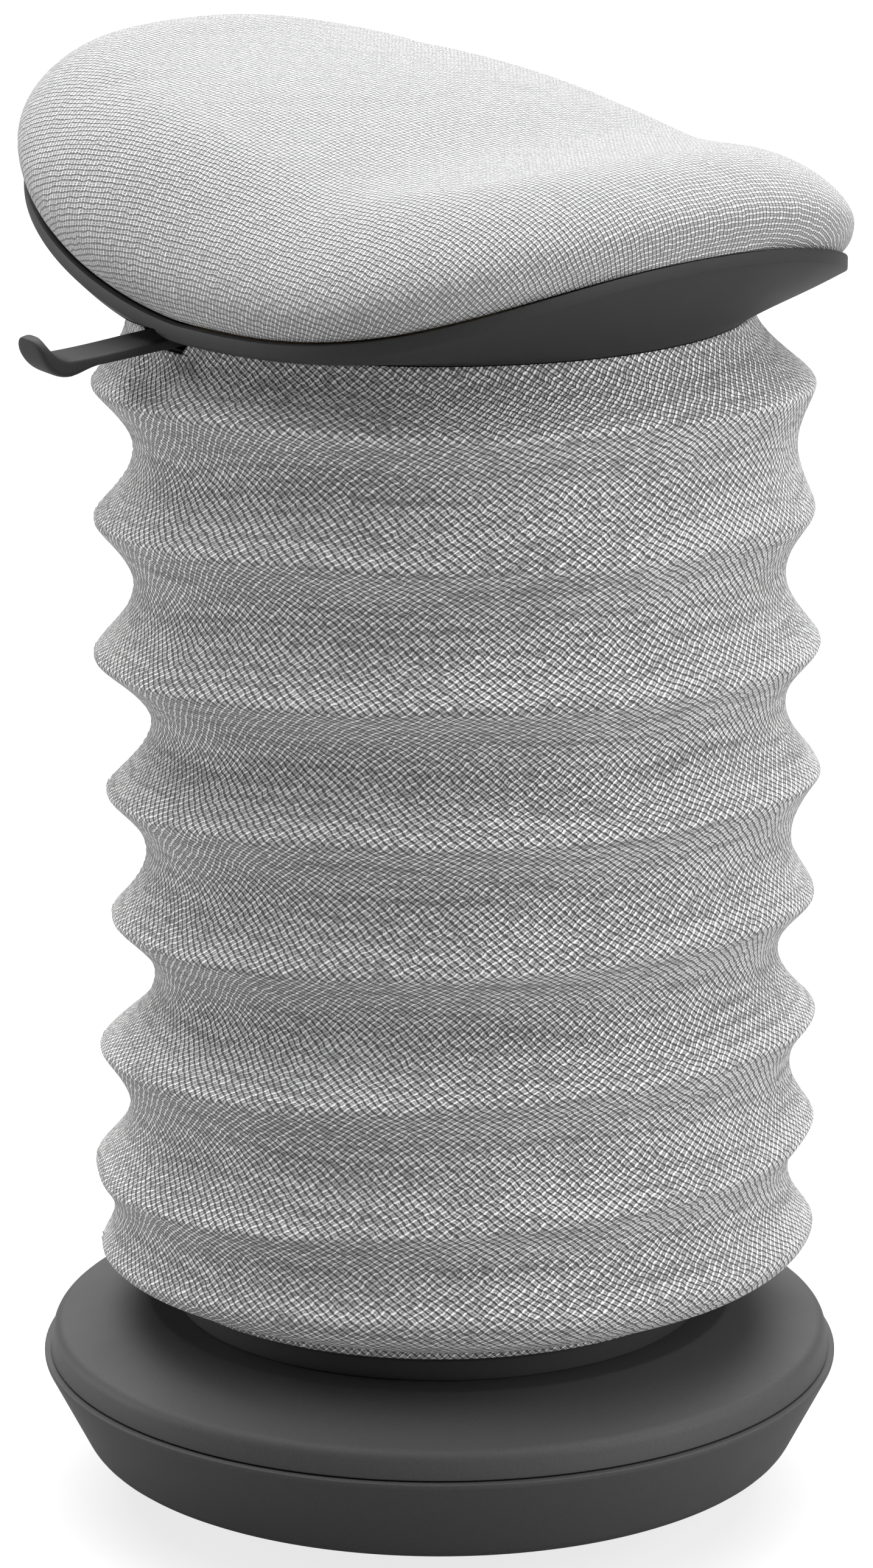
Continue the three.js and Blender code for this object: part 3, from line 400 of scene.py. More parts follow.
def woven_cloth(name, dark, light, thread_width, thread_height, unevenness, streakiness, variation):
    """A fine plain weave with light warp floats in a half drop. Thread sizes and the unevenness of
    their run are in millimetres. Streakiness is how far the yarn's tone changes along it, and
    variation how far it changes from one float to the next, both as shares."""
    made, tree, shader = new_material(
        name, light, cloth_roughness, Sheen_Weight=cloth_sheen, Sheen_Roughness=cloth_sheen_roughness)
    place = add(tree, "ShaderNodeUVMap", uv_map="cloth")
    drift = add(tree, "ShaderNodeTexNoise",
                {"Vector": place.outputs[0], "Scale": 1 / (cloth_drift_size * mm), "Detail": 1})
    centred = add(tree, "ShaderNodeVectorMath", {0: drift.outputs["Color"], 1: (0.5, 0.5, 0.5)},
                  operation="SUBTRACT")
    slight = add(tree, "ShaderNodeVectorMath", {0: centred.outputs[0], "Scale": unevenness * mm},
                 operation="SCALE")
    moved = add(tree, "ShaderNodeVectorMath", {0: place.outputs[0], 1: slight.outputs[0]})
    threads = add(tree, "ShaderNodeVectorMath",
                  {0: moved.outputs[0], 1: (1 / (thread_width * mm), 1 / (thread_height * mm), 0)},
                  operation="MULTIPLY")
    parts = add(tree, "ShaderNodeSeparateXYZ", {0: threads.outputs[0]})
    grounds = []
    for fineness in (1, 2):
        waves = []
        for axis in (0, 1):
            phase = add(tree, "ShaderNodeMath", {0: parts.outputs[axis], 1: math.pi * fineness},
                        operation="MULTIPLY")
            waves.append(add(tree, "ShaderNodeMath", {0: phase.outputs[0]}, operation="SINE").outputs[0])
        grounds.append(add(tree, "ShaderNodeMath", {0: waves[0], 1: waves[1]}, operation="MULTIPLY"))
    coarse, fine = (ground.outputs[0] for ground in grounds)
    weave = add(tree, "ShaderNodeMath", {0: fine, 1: fine_weave_share, 2: coarse}, operation="MULTIPLY_ADD")
    float_up = add(tree, "ShaderNodeMapRange",
                   {"Value": weave.outputs[0], "From Min": float_start, "From Max": float_full},
                   interpolation_type="SMOOTHSTEP")
    cell = add(tree, "ShaderNodeVectorMath", {0: threads.outputs[0]}, operation="FLOOR")
    each = add(tree, "ShaderNodeTexWhiteNoise", {"Vector": cell.outputs[0]}, noise_dimensions="2D")
    long_yarn = add(tree, "ShaderNodeMapping", {
        "Vector": place.outputs[0], "Scale": (1 / (streak_length * mm), 1 / (streak_height * mm), 1)})
    streaks = add(tree, "ShaderNodeTexNoise", {"Vector": long_yarn.outputs[0], "Scale": 1, "Detail": 2})
    uneven = add(tree, "ShaderNodeMapRange",
                 {"Value": streaks.outputs["Fac"], "From Min": noise_low, "From Max": noise_high,
                  "To Min": 1 - streakiness, "To Max": 1 + streakiness})
    shade = add(tree, "ShaderNodeMapRange",
                {"Value": each.outputs["Value"], "To Min": 1 - variation, "To Max": 1 + variation})
    yarn = add(tree, "ShaderNodeMath", {0: shade.outputs[0], 1: uneven.outputs[0]}, operation="MULTIPLY")
    share = add(tree, "ShaderNodeMath", {0: float_up.outputs[0], 1: yarn.outputs[0]}, operation="MULTIPLY",
                use_clamp=True)
    colour = add(tree, "ShaderNodeMix", {0: share.outputs[0], 6: srgb(dark), 7: srgb(light)},
                 data_type="RGBA")
    tree.links.new(colour.outputs[2], shader.inputs["Base Color"])
    loft = add(tree, "ShaderNodeMath", {0: float_up.outputs[0], 1: shade.outputs[0]}, operation="MULTIPLY")
    relief = add(tree, "ShaderNodeBump",
                 {"Height": loft.outputs[0], "Distance": thread_relief * mm, "Strength": 1})
    tree.links.new(relief.outputs[0], shader.inputs["Normal"])
    return made


def grained(name, code, roughness, grain, depth, stretch=(1, 1, 1), **plain):
    """A finish with an even grain, in colour and relief. The grain's size and depth are in
    millimetres, and stretch below 1 draws it out along that axis."""
    made, tree, shader = new_material(name, code, roughness, **plain)
    place = add(tree, "ShaderNodeTexCoord")
    drawn = add(tree, "ShaderNodeMapping", {"Vector": place.outputs["Object"], "Scale": stretch})
    bumps = add(tree, "ShaderNodeTexNoise",
                {"Vector": drawn.outputs[0], "Scale": 1 / (grain * mm), "Detail": 3, "Roughness": 0.6})
    clouds = add(tree, "ShaderNodeTexNoise",
                 {"Vector": place.outputs["Object"], "Scale": 1 / (cloud_size * mm), "Detail": 3})
    rough = add(tree, "ShaderNodeMapRange",
                {"Value": clouds.outputs["Fac"], "From Min": noise_low, "From Max": noise_high,
                 "To Min": roughness - cloud_gloss, "To Max": roughness + cloud_dullness})
    tree.links.new(rough.outputs[0], shader.inputs["Roughness"])
    pale = [c * pale_speck for c in srgb(code)[:3]] + [1]
    deep = [c * deep_speck for c in srgb(code)[:3]] + [1]
    speck = add(tree, "ShaderNodeMapRange",
                {"Value": bumps.outputs["Fac"], "From Min": speck_low, "From Max": speck_high})
    colour = add(tree, "ShaderNodeMix", {0: speck.outputs[0], 6: deep, 7: pale}, data_type="RGBA")
    tree.links.new(colour.outputs[2], shader.inputs["Base Color"])
    relief = add(tree, "ShaderNodeBump",
                 {"Height": bumps.outputs["Fac"], "Distance": depth * mm, "Strength": grain_strength})
    tree.links.new(relief.outputs[0], shader.inputs["Normal"])
    return made


# Meshes

def skin(name, grid, cloth=None):
    """A skin over a grid of points in millimetres. Rows run round the piece and go up its outside,
    and cloth gives each point's place on the flat cloth, with the seam's column twice."""
    rows, columns = grid.shape[:2]
    corner = np.arange(rows * columns).reshape(rows, columns)
    ahead = np.roll(corner, -1, axis=1)
    quads = np.stack([corner[:-1], ahead[:-1], ahead[1:], corner[1:]], axis=-1).reshape(-1, 4)
    mesh = bpy.data.meshes.new(name)
    mesh.from_pydata((grid.reshape(-1, 3) * mm).tolist(), [], quads.tolist())
    if cloth is not None:
        corners = [cloth[:-1, :-1], cloth[:-1, 1:], cloth[1:, 1:], cloth[1:, :-1]]
        layer = mesh.uv_layers.new(name="cloth")
        layer.data.foreach_set("uv", (np.stack(corners, axis=2).reshape(-1) * mm))
    mesh.shade_smooth()
    return link(bpy.data.objects.new(name, mesh))


def weld(piece):
    """Closes the poles, where a whole row lies on one point."""
    merge = piece.modifiers.new("weld", "WELD")
    merge.merge_threshold = weld_distance * mm
    fix(piece)


def fix(piece):
    """Turns the piece's modifiers into plain mesh."""
    ready = bpy.context.evaluated_depsgraph_get()
    made = bpy.data.meshes.new_from_object(piece.evaluated_get(ready), depsgraph=ready)
    old = piece.data
    piece.modifiers.clear()
    piece.data = made
    bpy.data.meshes.remove(old)


def carve(piece, block):
    """Cuts the space of a closed block out of a piece."""
    cut = piece.modifiers.new("cut", "BOOLEAN")
    cut.operation = "DIFFERENCE"
    cut.solver = "EXACT"
    cut.object = block
    fix(piece)
    bpy.data.objects.remove(block)


def around(columns):
    """Even angles round the upright axis, without the last, which is the first again."""
    return np.linspace(0, 2 * math.pi, columns, endpoint=False)


def rounded(corners, steps=6):
    """A line of [radius, height] points with the third number as the rounding at each corner."""
    line = []
    for index, (r, z, fillet) in enumerate(corners):
        here = np.array([r, z], float)
        if not fillet:
            line.append(here)
            continue
        before = np.array(corners[index - 1][:2], float) - here
        after = np.array(corners[index + 1][:2], float) - here
        before /= np.linalg.norm(before)
        after /= np.linalg.norm(after)
        half = math.acos(float(np.clip(before @ after, -1, 1))) / 2
        reach = fillet / math.tan(half)
        for t in np.linspace(0, 1, steps + 1):
            one, two = here + before * reach, here + after * reach
            line.append((1 - t) ** 2 * one + 2 * t * (1 - t) * here + t ** 2 * two)
    return np.array(line)


def turned(name, line, columns=base_columns):
    """A solid of revolution about the upright axis, from a line of [radius, height] points."""
    angle = around(columns)
    radius, height = line[:, :1], line[:, 1:]
    grid = np.stack([radius * np.cos(angle), radius * np.sin(angle), height + 0 * angle], axis=-1)
    return skin(name, grid)


def new_tree(name, sizes):
    """A Geometry Nodes tree with its sizes as named inputs, and its first node."""
    tree = bpy.data.node_groups.new(name, "GeometryNodeTree")
    tree.interface.new_socket("Line", in_out="INPUT", socket_type="NodeSocketGeometry")
    for size in sizes:
        tree.interface.new_socket(size, in_out="INPUT", socket_type="NodeSocketFloat")
    tree.interface.new_socket("Pieces", in_out="OUTPUT", socket_type="NodeSocketGeometry")
    return tree, add(tree, "NodeGroupInput")


def end_tree(tree, made, finish):
    """Ends a tree with plain, smooth mesh in one material."""
    real = add(tree, "GeometryNodeRealizeInstances", {0: made})
    smooth = add(tree, "GeometryNodeSetShadeSmooth", {0: real.outputs[0]})
    painted = add(tree, "GeometryNodeSetMaterial", {0: smooth.outputs[0], "Material": finish})
    add(tree, "NodeGroupOutput", {0: painted.outputs[0]})
    return tree


def wire_tree(finish):
    """Round wire along a line."""
    tree, sizes = new_tree("bent_wire", ["Wire Radius"])
    path = add(tree, "GeometryNodeMeshToCurve", {0: sizes.outputs["Line"]})
    profile = add(tree, "GeometryNodeCurvePrimitiveCircle",
                  {"Resolution": wire_columns, "Radius": sizes.outputs["Wire Radius"]})
    wire = add(tree, "GeometryNodeCurveToMesh", {0: path.outputs[0], 1: profile.outputs[0]})
    return end_tree(tree, wire.outputs[0], finish)


def stitch_tree(finish):
    """A row of lockstitches along a line, each a short plump length of thread."""
    tree, sizes = new_tree("stitch_row", ["Pitch", "Length", "Thickness"])
    path = add(tree, "GeometryNodeMeshToCurve", {0: sizes.outputs["Line"]})
    even = add(tree, "GeometryNodeResampleCurve",
               {"Curve": path.outputs[0], "Length": sizes.outputs["Pitch"]}, mode="LENGTH")
    tangent = add(tree, "GeometryNodeInputTangent")
    facing = add(tree, "FunctionNodeAlignRotationToVector", {"Vector": tangent.outputs[0]}, axis="X")
    size = add(tree, "ShaderNodeCombineXYZ", {
        0: sizes.outputs["Length"], 1: sizes.outputs["Thickness"], 2: sizes.outputs["Thickness"]})
    thread = add(tree, "GeometryNodeMeshUVSphere",
                 {"Segments": stitch_columns, "Rings": stitch_rings, "Radius": 0.5})
    row = add(tree, "GeometryNodeInstanceOnPoints", {
        "Points": even.outputs[0], "Instance": thread.outputs[0],
        "Rotation": facing.outputs[0], "Scale": size.outputs[0]})
    return end_tree(tree, row.outputs[0], finish)


def along_line(name, line, closed, tree, sizes):
    """Runs a tree along a line of points in millimetres, and keeps the result as plain mesh."""
    mesh = bpy.data.meshes.new(name)
    count = len(line)
    edges = [(at, (at + 1) % count) for at in range(count if closed else count - 1)]
    mesh.from_pydata((line * mm).tolist(), edges, [])
    piece = link(bpy.data.objects.new(name, mesh))
    rule = piece.modifiers.new("rule", "NODES")
    rule.node_group = tree
    for socket in tree.interface.items_tree:
        if socket.name in sizes:
            rule[socket.identifier] = sizes[socket.name] * mm
    fix(piece)
    return piece


# Sleeve

rng = np.random.default_rng(sleeve_seed)


def wander(angle, amount):
    """A slow unevenness round the sleeve, as sewn cloth has."""
    total = 0 * angle
    for waves in range(*wander_waves):
        wave = np.cos(waves * angle + rng.uniform(0, 2 * math.pi))
        total = total + wave * rng.uniform(weakest_wave, 1) / waves
    return total * amount


def fold_depth(t):
    """How far the cloth has drawn in at a share t of the way between hoops, rounded at the hoops."""
    soft = fold_crest_softness
    most = math.sqrt(1 + soft ** 2) - soft
    return (np.sqrt(np.sin(math.pi * t) ** 2 + soft ** 2) - soft) / most


def hoop_rings(angle):
    """Each hoop's crest as [radius, height, drift] round the sleeve."""
    length = sleeve_top - sleeve_bottom
    rings = []
    for radius, height, tilt, cross_tilt, drift in zip(
            hoop_radius_shares, hoop_height_shares, hoop_tilt_shares, hoop_cross_tilt_shares,
            hoop_drift_shares):
        lean = tilt * np.cos(angle - lean_angle) - cross_tilt * np.sin(angle - lean_angle)
        rings.append(np.stack([
            hoop_radius * radius + wander(angle, hoop_radius_wander),
            sleeve_bottom + length * height + hoop_radius * lean + wander(angle, hoop_height_wander),
            0 * angle + sleeve_drift * drift,
        ], axis=-1))
    return rings


def wrinkles(grid):
    """Shallow, slanting unevenness of hung cloth, none at the hem and at the seat end."""
    rows, columns = grid.shape[:2]
    up = np.linspace(0, 1, rows)[:, None]
    turn = around(columns)[None, :]
    depth = 0 * up * turn
    for _ in range(wrinkle_count):
        waves, climb = int(rng.integers(*wrinkle_waves)), rng.uniform(-wrinkle_climb, wrinkle_climb)
        strength = rng.uniform(weakest_wave, 1) / (1 + waves / wrinkle_fade)
        depth += strength * np.cos(waves * turn + climb * up * math.pi + rng.uniform(0, 2 * math.pi))
    depth *= wrinkle_depth * np.sqrt(np.maximum(np.sin(up * math.pi), 0))
    away = grid[..., :2] / np.linalg.norm(grid[..., :2], axis=-1, keepdims=True)
    bent = grid.copy()
    bent[..., :2] += away * depth[..., None]
    return bent


def level_ring(angle, radius, height):
    """A true, level circle as [radius, height, drift]."""
    return np.stack([0 * angle + radius, 0 * angle + height, 0 * angle], axis=-1)


def placed(rings, angle):
    """Rings of [radius, height, drift] as points in space. Drift moves them along lean_angle."""
    rings = np.array(rings)
    x = rings[..., 0] * np.cos(angle) + rings[..., 2] * math.cos(lean_angle)
    y = rings[..., 0] * np.sin(angle) + rings[..., 2] * math.sin(lean_angle)
    return np.stack([x, y, rings[..., 1]], axis=-1)


def closer_at_crests(rows):
    """Shares of the way between two hoops, closer together near each of them."""
    t = np.arange(rows) / rows
    return t - 0.5 * np.sin(2 * math.pi * t) / (2 * math.pi)


def sleeve_rings(angle, hoops):
    """The sleeve's outside from the hem up: the hem's roll, the first fold out to the lowest hoop, the
    folds between the hoops, and the cloth above the last hoop, with its notch for the lever."""
    rings = [level_ring(angle, hem_radius + out, sleeve_bottom + up) for out, up in hem_roll]
    hem_top = level_ring(angle, hem_radius, sleeve_bottom + hem_height)
    for t in np.linspace(0, math.pi / 2, hem_rows)[:-1]:
        ring = hem_top + (hoops[0] - hem_top) * math.sin(t)
        ring[:, 1] = hem_top[:, 1] + (hoops[0][:, 1] - hem_top[:, 1]) * (1 - math.cos(t))
        rings.append(ring)
    for index, share in enumerate(fold_radius_shares):
        low, high = hoops[index], hoops[index + 1]
        depth = (low[:, 0] + high[:, 0]) / 2 - hoop_radius * share + wander(angle, fold_wander)
        for t in closer_at_crests(fold_rows):
            ring = low + (high - low) * t
            ring[:, 0] -= depth * fold_depth(t)
            ring[:, 2] += sleeve_drift * fold_drift_shares[index] * fold_depth(t)
            rings.append(ring)
    top = level_ring(angle, sleeve_top_radius, sleeve_top)
    side = np.abs((angle - lever_angle + math.pi) % (2 * math.pi) - math.pi) * sleeve_top_radius
    dip = np.clip((sleeve_notch_width / 2 - side) / sleeve_notch_ease + 0.5, 0, 1)
    top[:, 1] -= sleeve_notch_depth * dip * dip * (3 - 2 * dip)
    for t in closer_at_crests(2 * fold_rows)[:fold_rows + 1] * 2:
        ring = hoops[-1] + (top - hoops[-1]) * t
        ring[:, 0] = hoops[-1][:, 0] + (top[:, 0] - hoops[-1][:, 0]) * fold_depth(t / 2)
        rings.append(ring)
    return rings


def laid_flat(grid, round_radius):
    """Each point's place on the flat cloth: round the sleeve and up its folds."""
    steps = np.linalg.norm(np.diff(grid, axis=0), axis=-1)
    up = np.concatenate([np.zeros((1, grid.shape[1])), np.cumsum(steps, axis=0)])
    up = np.concatenate([up, up[:, :1]], axis=1)
    turn = np.linspace(0, 2 * math.pi * round_radius, grid.shape[1] + 1)
    return np.stack([np.broadcast_to(turn, up.shape), up], axis=-1)


def follow_the_seat(piece):
    """Gives the piece a mesh of its own, not shared with any other piece."""
    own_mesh(piece)


def make_stitches(grid, finish):
    """Stitches round the hem and down both sides of the seam at the back."""
    tree = stitch_tree(finish)
    sizes = {"Pitch": stitch_pitch, "Length": stitch_length, "Thickness": stitch_thickness}
    back = round(seam_angle / (2 * math.pi) * sleeve_columns)
    rows = [("hem_stitches", grid[hem_stitch_row], True)]
    for side, name in ((-1, "left"), (1, "right")):
        rows.append((f"back_stitches_{name}", grid[len(hem_roll):, back + side], False))
    made = []
    for name, line, closed in rows:
        row = along_line(name, line, closed, tree, sizes)
        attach(row, "column")
        follow_the_seat(row)
        made.append(row)
    return made


def make_sleeve(hoops, angle, cloth, thread):
    """The sleeve as one tube of cloth with a wall inside, sewn at the hem and up the back."""
    grid = wrinkles(placed(sleeve_rings(angle, hoops), angle))
    flat = laid_flat(grid, hoop_radius)
    sleeve = skin("sleeve", grid, flat)
    wall = sleeve.modifiers.new("cloth", "SOLIDIFY")
    wall.thickness = sleeve_cloth * mm
    wall.offset = -1
    fix(sleeve)
    sleeve.data.materials.append(cloth)
    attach(sleeve, "column")
    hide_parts("sleeve_fabric")
    follow_the_seat(sleeve)
    make_stitches(grid, thread)


def make_hoops(hoops, angle, steel):
    """Spring steel wire hoops inside the sleeve's crests, each a little out of true."""
    tree = wire_tree(steel)
    for number, ring in enumerate(hoops, 1):
        inside = ring.copy()
        inside[:, 0] -= sleeve_cloth + hoop_wire_radius + hoop_gap
        line = placed(inside, angle)
        hoop = along_line(f"wire_hoop_{number}", line, True, tree, {"Wire Radius": hoop_wire_radius})
        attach(hoop, f"hoop_{number}")
        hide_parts(f"sleeve_hoop_{number}")
        follow_the_seat(hoop)


# Seat

def outline(angle):
    """The seat's edge from above: longer behind than in front, and wider in front than behind."""
    c, s = np.cos(angle), np.sin(angle)
    length = np.where(s < 0, front_length, rear_length)
    spread = np.abs(c / half_width) ** outline_power + np.abs(s / length) ** outline_power
    y = s * spread ** (-1 / outline_power)
    x = c * spread ** (-1 / outline_power) * (1 - front_flare_share * y / front_length)
    return x, y


def saddle(x, y):
    """The height of the surface between the shell and the cushion."""
    front = front_rise * (np.maximum(-y, 0) / front_length) ** front_rise_power
    rear = rear_rise * (np.maximum(y, 0) / rear_length) ** rear_rise_power
    return saddle_height + front + rear - side_drop * (x / half_width) ** 2


def stuffing(y):
    """The extra stuffing over the low middle of the saddle."""
    ahead = y - cushion_fill_centre
    share = np.abs(ahead) / np.where(ahead < 0, cushion_fill_front, cushion_fill_rear)
    return cushion_fill * np.cos(np.minimum(share, 1) * math.pi / 2) ** 2


def saddle_ring(angle, inset, rise, share=1, stuffed=0):
    """A ring along the outline, moved inwards and drawn to a share of its size, above the saddle."""
    x, y = outline(angle)
    scale = (1 - inset / np.hypot(x, y)) * share
    x, y = x * scale, y * scale
    return np.stack([x, y, saddle(x, y) + rise + stuffing(y) * stuffed], axis=-1)


def cushion_rings(angle):
    """The cushion from the middle of its underside out, round its tucked edge and over its top."""
    under = np.linspace(0, cushion_under_share, cushion_under_rows)
    rings = [saddle_ring(angle, 0, cushion_gap, share) for share in under]
    for turn in np.linspace(math.pi / 2, 0, cushion_tuck_rows)[:-1]:
        inset = cushion_tuck_width * (1 - math.cos(turn)) - cushion_bulge
        rings.append(saddle_ring(angle, inset, cushion_gap + cushion_tuck_height * (1 - math.sin(turn))))
    widest = cushion_gap + cushion_tuck_height
    above = cushion_thickness - cushion_swell / 2 - widest
    for turn in np.linspace(0, math.pi / 2, cushion_roll_rows):
        inset = cushion_roll_width * (1 - math.cos(turn)) ** cushion_roll_power - cushion_bulge
        rise = math.sin(turn)
        rings.append(saddle_ring(angle, inset, widest + above * rise, stuffed=rise))
    flat = cushion_roll_width - cushion_bulge
    for share in np.linspace(1, 0, cushion_top_rows)[1:]:
        rise = cushion_thickness - cushion_swell / 2 + cushion_crown * (1 - share ** 2)
        rings.append(saddle_ring(angle, flat, rise, share, stuffed=1))
    return rings


def plump(piece, underside):
    """Lets the cover of a pad swell over its foam under a light pressure, with its underside held.
    A point moves at most cushion_swell."""
    before = np.array([point.co for point in piece.data.vertices])
    held = piece.vertex_groups.new(name="underside")
    held.add(underside, 1, "REPLACE")
    cover = piece.modifiers.new("cover", "CLOTH")
    cover.settings.use_pressure = True
    cover.settings.uniform_pressure_force = cushion_pressure
    cover.settings.effector_weights.gravity = 0
    cover.settings.vertex_group_mass = "underside"
    for step in range(cushion_steps):
        bpy.context.scene.frame_set(step + 1)
    fix(piece)
    bpy.context.scene.frame_set(1)
    piece.vertex_groups.clear()
    moved = np.array([point.co for point in piece.data.vertices]) - before
    far = np.linalg.norm(moved, axis=1, keepdims=True)
    moved *= np.minimum(cushion_swell * mm / np.maximum(far, 1e-9), 1)
    piece.data.vertices.foreach_set("co", (before + moved).ravel())


def make_cushion(cloth):
    """The padded cushion. Its flat cloth is laid out from the middle of its top, turned on the seat."""
    angle = around(cushion_columns)
    grid = np.array(cushion_rings(angle))
    steps = np.linalg.norm(np.diff(grid, axis=0), axis=-1)
    reach = np.concatenate([np.cumsum(steps[::-1], axis=0)[::-1], np.zeros((1, len(angle)))])
    heading = np.arctan2(outline(angle)[1], outline(angle)[0]) + cushion_cloth_turn
    flat = np.stack([reach * np.cos(heading), reach * np.sin(heading)], axis=-1)
    flat = np.concatenate([flat, flat[:, :1]], axis=1)
    cushion = skin("cushion", grid, flat)
    weld(cushion)
    x, y, height = np.array([point.co for point in cushion.data.vertices]).T / mm
    low = height < saddle(x, y) + cushion_gap * 2
    plump(cushion, np.flatnonzero(low).tolist())
    smooth = cushion.modifiers.new("smooth", "SUBSURF")
    smooth.levels = smooth.render_levels = 1
    fix(cushion)
    cushion.data.materials.append(cloth)
    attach(cushion, "seat")
    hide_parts("seat_cushion")


def cut_lever_slot(shell):
    """The notch in the pan's underside that the lever comes out through."""
    low, high = seat_underside - slot_overcut, seat_underside + slot_top_rise
    c, s = math.cos(lever_angle), math.sin(lever_angle)
    corners = [
        (c * reach - s * across, s * reach + c * across, height)
        for height in (low, high)
        for reach, across in ((slot_inner_reach, -slot_width / 2), (slot_outer_reach, -slot_width / 2),
                              (slot_outer_reach, slot_width / 2), (slot_inner_reach, slot_width / 2))
    ]
    mesh = bpy.data.meshes.new("slot_block")
    sides = [(at, (at + 1) % 4, (at + 1) % 4 + 4, at + 4) for at in range(4)]
    mesh.from_pydata((np.array(corners) * mm).tolist(), [], [(3, 2, 1, 0), (4, 5, 6, 7), *sides])
    block = link(bpy.data.objects.new("slot_block", mesh))
    soften = block.modifiers.new("soften", "BEVEL")
    soften.width = slot_fillet * mm
    soften.segments = 3
    carve(shell, block)


def make_shell(plastic):
    """The pan under the cushion, from the middle of its underside out, round its lip and back inside."""
    angle = around(shell_columns)
    floor, bottom, lip_low = seat_underside, shell_bottom_radius, -shell_lip_height

    def circle(radius, height):
        return np.stack([radius * np.cos(angle), radius * np.sin(angle), height + 0 * angle], axis=-1)

    lip = saddle_ring(angle, 0, lip_low)
    fillet = shell_bottom_fillet
    start = circle(bottom + fillet, floor + fillet)
    rings = [
        circle(0, floor), circle(bottom * 0.5, floor), circle(bottom - fillet, floor),
        circle(bottom + fillet * fillet_middle_out, floor + fillet * fillet_middle_up),
    ]
    for t in np.linspace(0, 1, shell_rows):
        ring = start + (lip - start) * t
        ring[:, 2] -= shell_belly * math.sin(math.pi * t)
        rings.append(ring)
    edge, proud = shell_edge_radius, shell_proud
    for inset, rise in (
            (-shell_foot_proud, lip_low + fillet * fillet_middle_out), (-proud, lip_low + fillet),
            (-proud, -edge), (edge * fillet_middle_up - proud, -edge * fillet_middle_up),
            (edge, 0), (shell_lip_wall, 0), (shell_lip_wall, lip_low + shell_wall)):
        rings.append(saddle_ring(angle, inset, rise))
    rings += [circle(bottom - shell_wall, floor + shell_wall), circle(0, floor + shell_wall)]
    shell = skin("seat_pan", np.array(rings))
    weld(shell)
    cut_lever_slot(shell)
    shell.data.set_sharp_from_angle(angle=sharp_angle)
    shell.data.materials.append(plastic)
    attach(shell, "seat")
    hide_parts("seat_shell")


# Base

def rock_height(radius):
    """The height of the rounded underside above the floor, at each radius."""
    sag = rock_radius - math.sqrt(rock_radius ** 2 - foot_flat_radius ** 2)
    return np.maximum(rock_radius - np.sqrt(rock_radius ** 2 - radius ** 2) - sag, 0)


def bowl_line():
    """The bowl, from the middle of its underside out to its rim and back inside."""
    recess = sole_radius + base_gap
    lift = sole_thickness + base_gap
    low = rock_height(corner_radius)
    rim = widest_height + rim_step
    return rounded([
        [0, lift, 0],
        *([r, rock_height(r) + lift, 0] for r in np.linspace(foot_flat_radius, recess, sole_rows)),
        [recess, rock_height(recess), 0],
        [corner_radius, low, corner_fillet],
        [base_radius, widest_height, edge_fillet],
        [base_radius, rim, rim_fillet],
        [base_radius - bowl_wall, rim, 0],
        [corner_radius - bowl_wall, low + bowl_wall, 0],
        [0, lift + bowl_wall, 0],
    ])


def cover_line():
    """The cover, from its skirt inside the bowl over its shoulder and shelf to its collar and back."""
    rim = widest_height + rim_step
    edge = rim + seam_width
    slope = (base_radius - corner_radius) / (widest_height - rock_height(corner_radius))
    skirt = base_radius - bowl_wall - base_gap - slope * rim_step
    return rounded([
        [skirt - skirt_wall, rim - skirt_depth, 0],
        [skirt, rim - skirt_depth, 0],
        [skirt, edge, 0],
        [base_radius - cover_edge_inset, edge, cover_edge_fillet],
        [base_radius - shoulder_inset, shoulder_height + shoulder_crown, shoulder_fillet],
        [shelf_radius, shelf_height, shelf_fillet],
        [collar_radius, shelf_height, collar_foot_fillet],
        [collar_radius, collar_height, collar_fillet],
        [collar_radius - collar_wall, collar_height, 0],
        [collar_radius - collar_wall, shelf_height, 0],
        [neck_radius, shelf_height, 0],
        [neck_radius, shelf_height - cover_wall, 0],
        [shelf_radius, shelf_height - cover_wall, 0],
        [skirt - skirt_wall, shoulder_height - cover_wall, 0],
        [skirt - skirt_wall, rim - skirt_depth, 0],
    ])


def sole_line():
    """The sole, from the middle of its underside out over its grooves, and back along its top."""
    slope, width, depth = sole_groove_slope, sole_groove_width, sole_groove_depth
    groove = ((0, 0), (slope, depth), (width - slope, depth), (width, 0))
    line = [[0, 0]]
    for start in np.arange(foot_flat_radius, sole_radius, sole_groove_pitch):
        line += [[start + shift, rock_height(start + shift) + rise] for shift, rise in groove]
    line.append([sole_radius, rock_height(sole_radius)])
    for r in np.linspace(sole_radius, foot_flat_radius, sole_rows):
        line.append([r, rock_height(r) + sole_thickness])
    return np.array([*line, [0, sole_thickness]])


def make_base(plastic, rubber, steel):
    """The bowl, its cover and its sole, with the cover's screws from below."""
    bowl = turned("base_bowl_skin", bowl_line())
    cover = turned("base_cover_skin", cover_line())
    sole = turned("base_sole_skin", sole_line())
    for piece, node, slot, finish in (
            (bowl, "base_bowl", "moulded_plastic", plastic),
            (cover, "base_cover", "moulded_plastic", plastic),
            (sole, "base_sole", "sole_rubber", rubber)):
        weld(piece)
        if piece is bowl:
            make_cover_screws(bowl, steel)
        piece.data.set_sharp_from_angle(angle=sharp_angle)
        piece.data.materials.append(finish)
        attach(piece, "base")
        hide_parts(node)


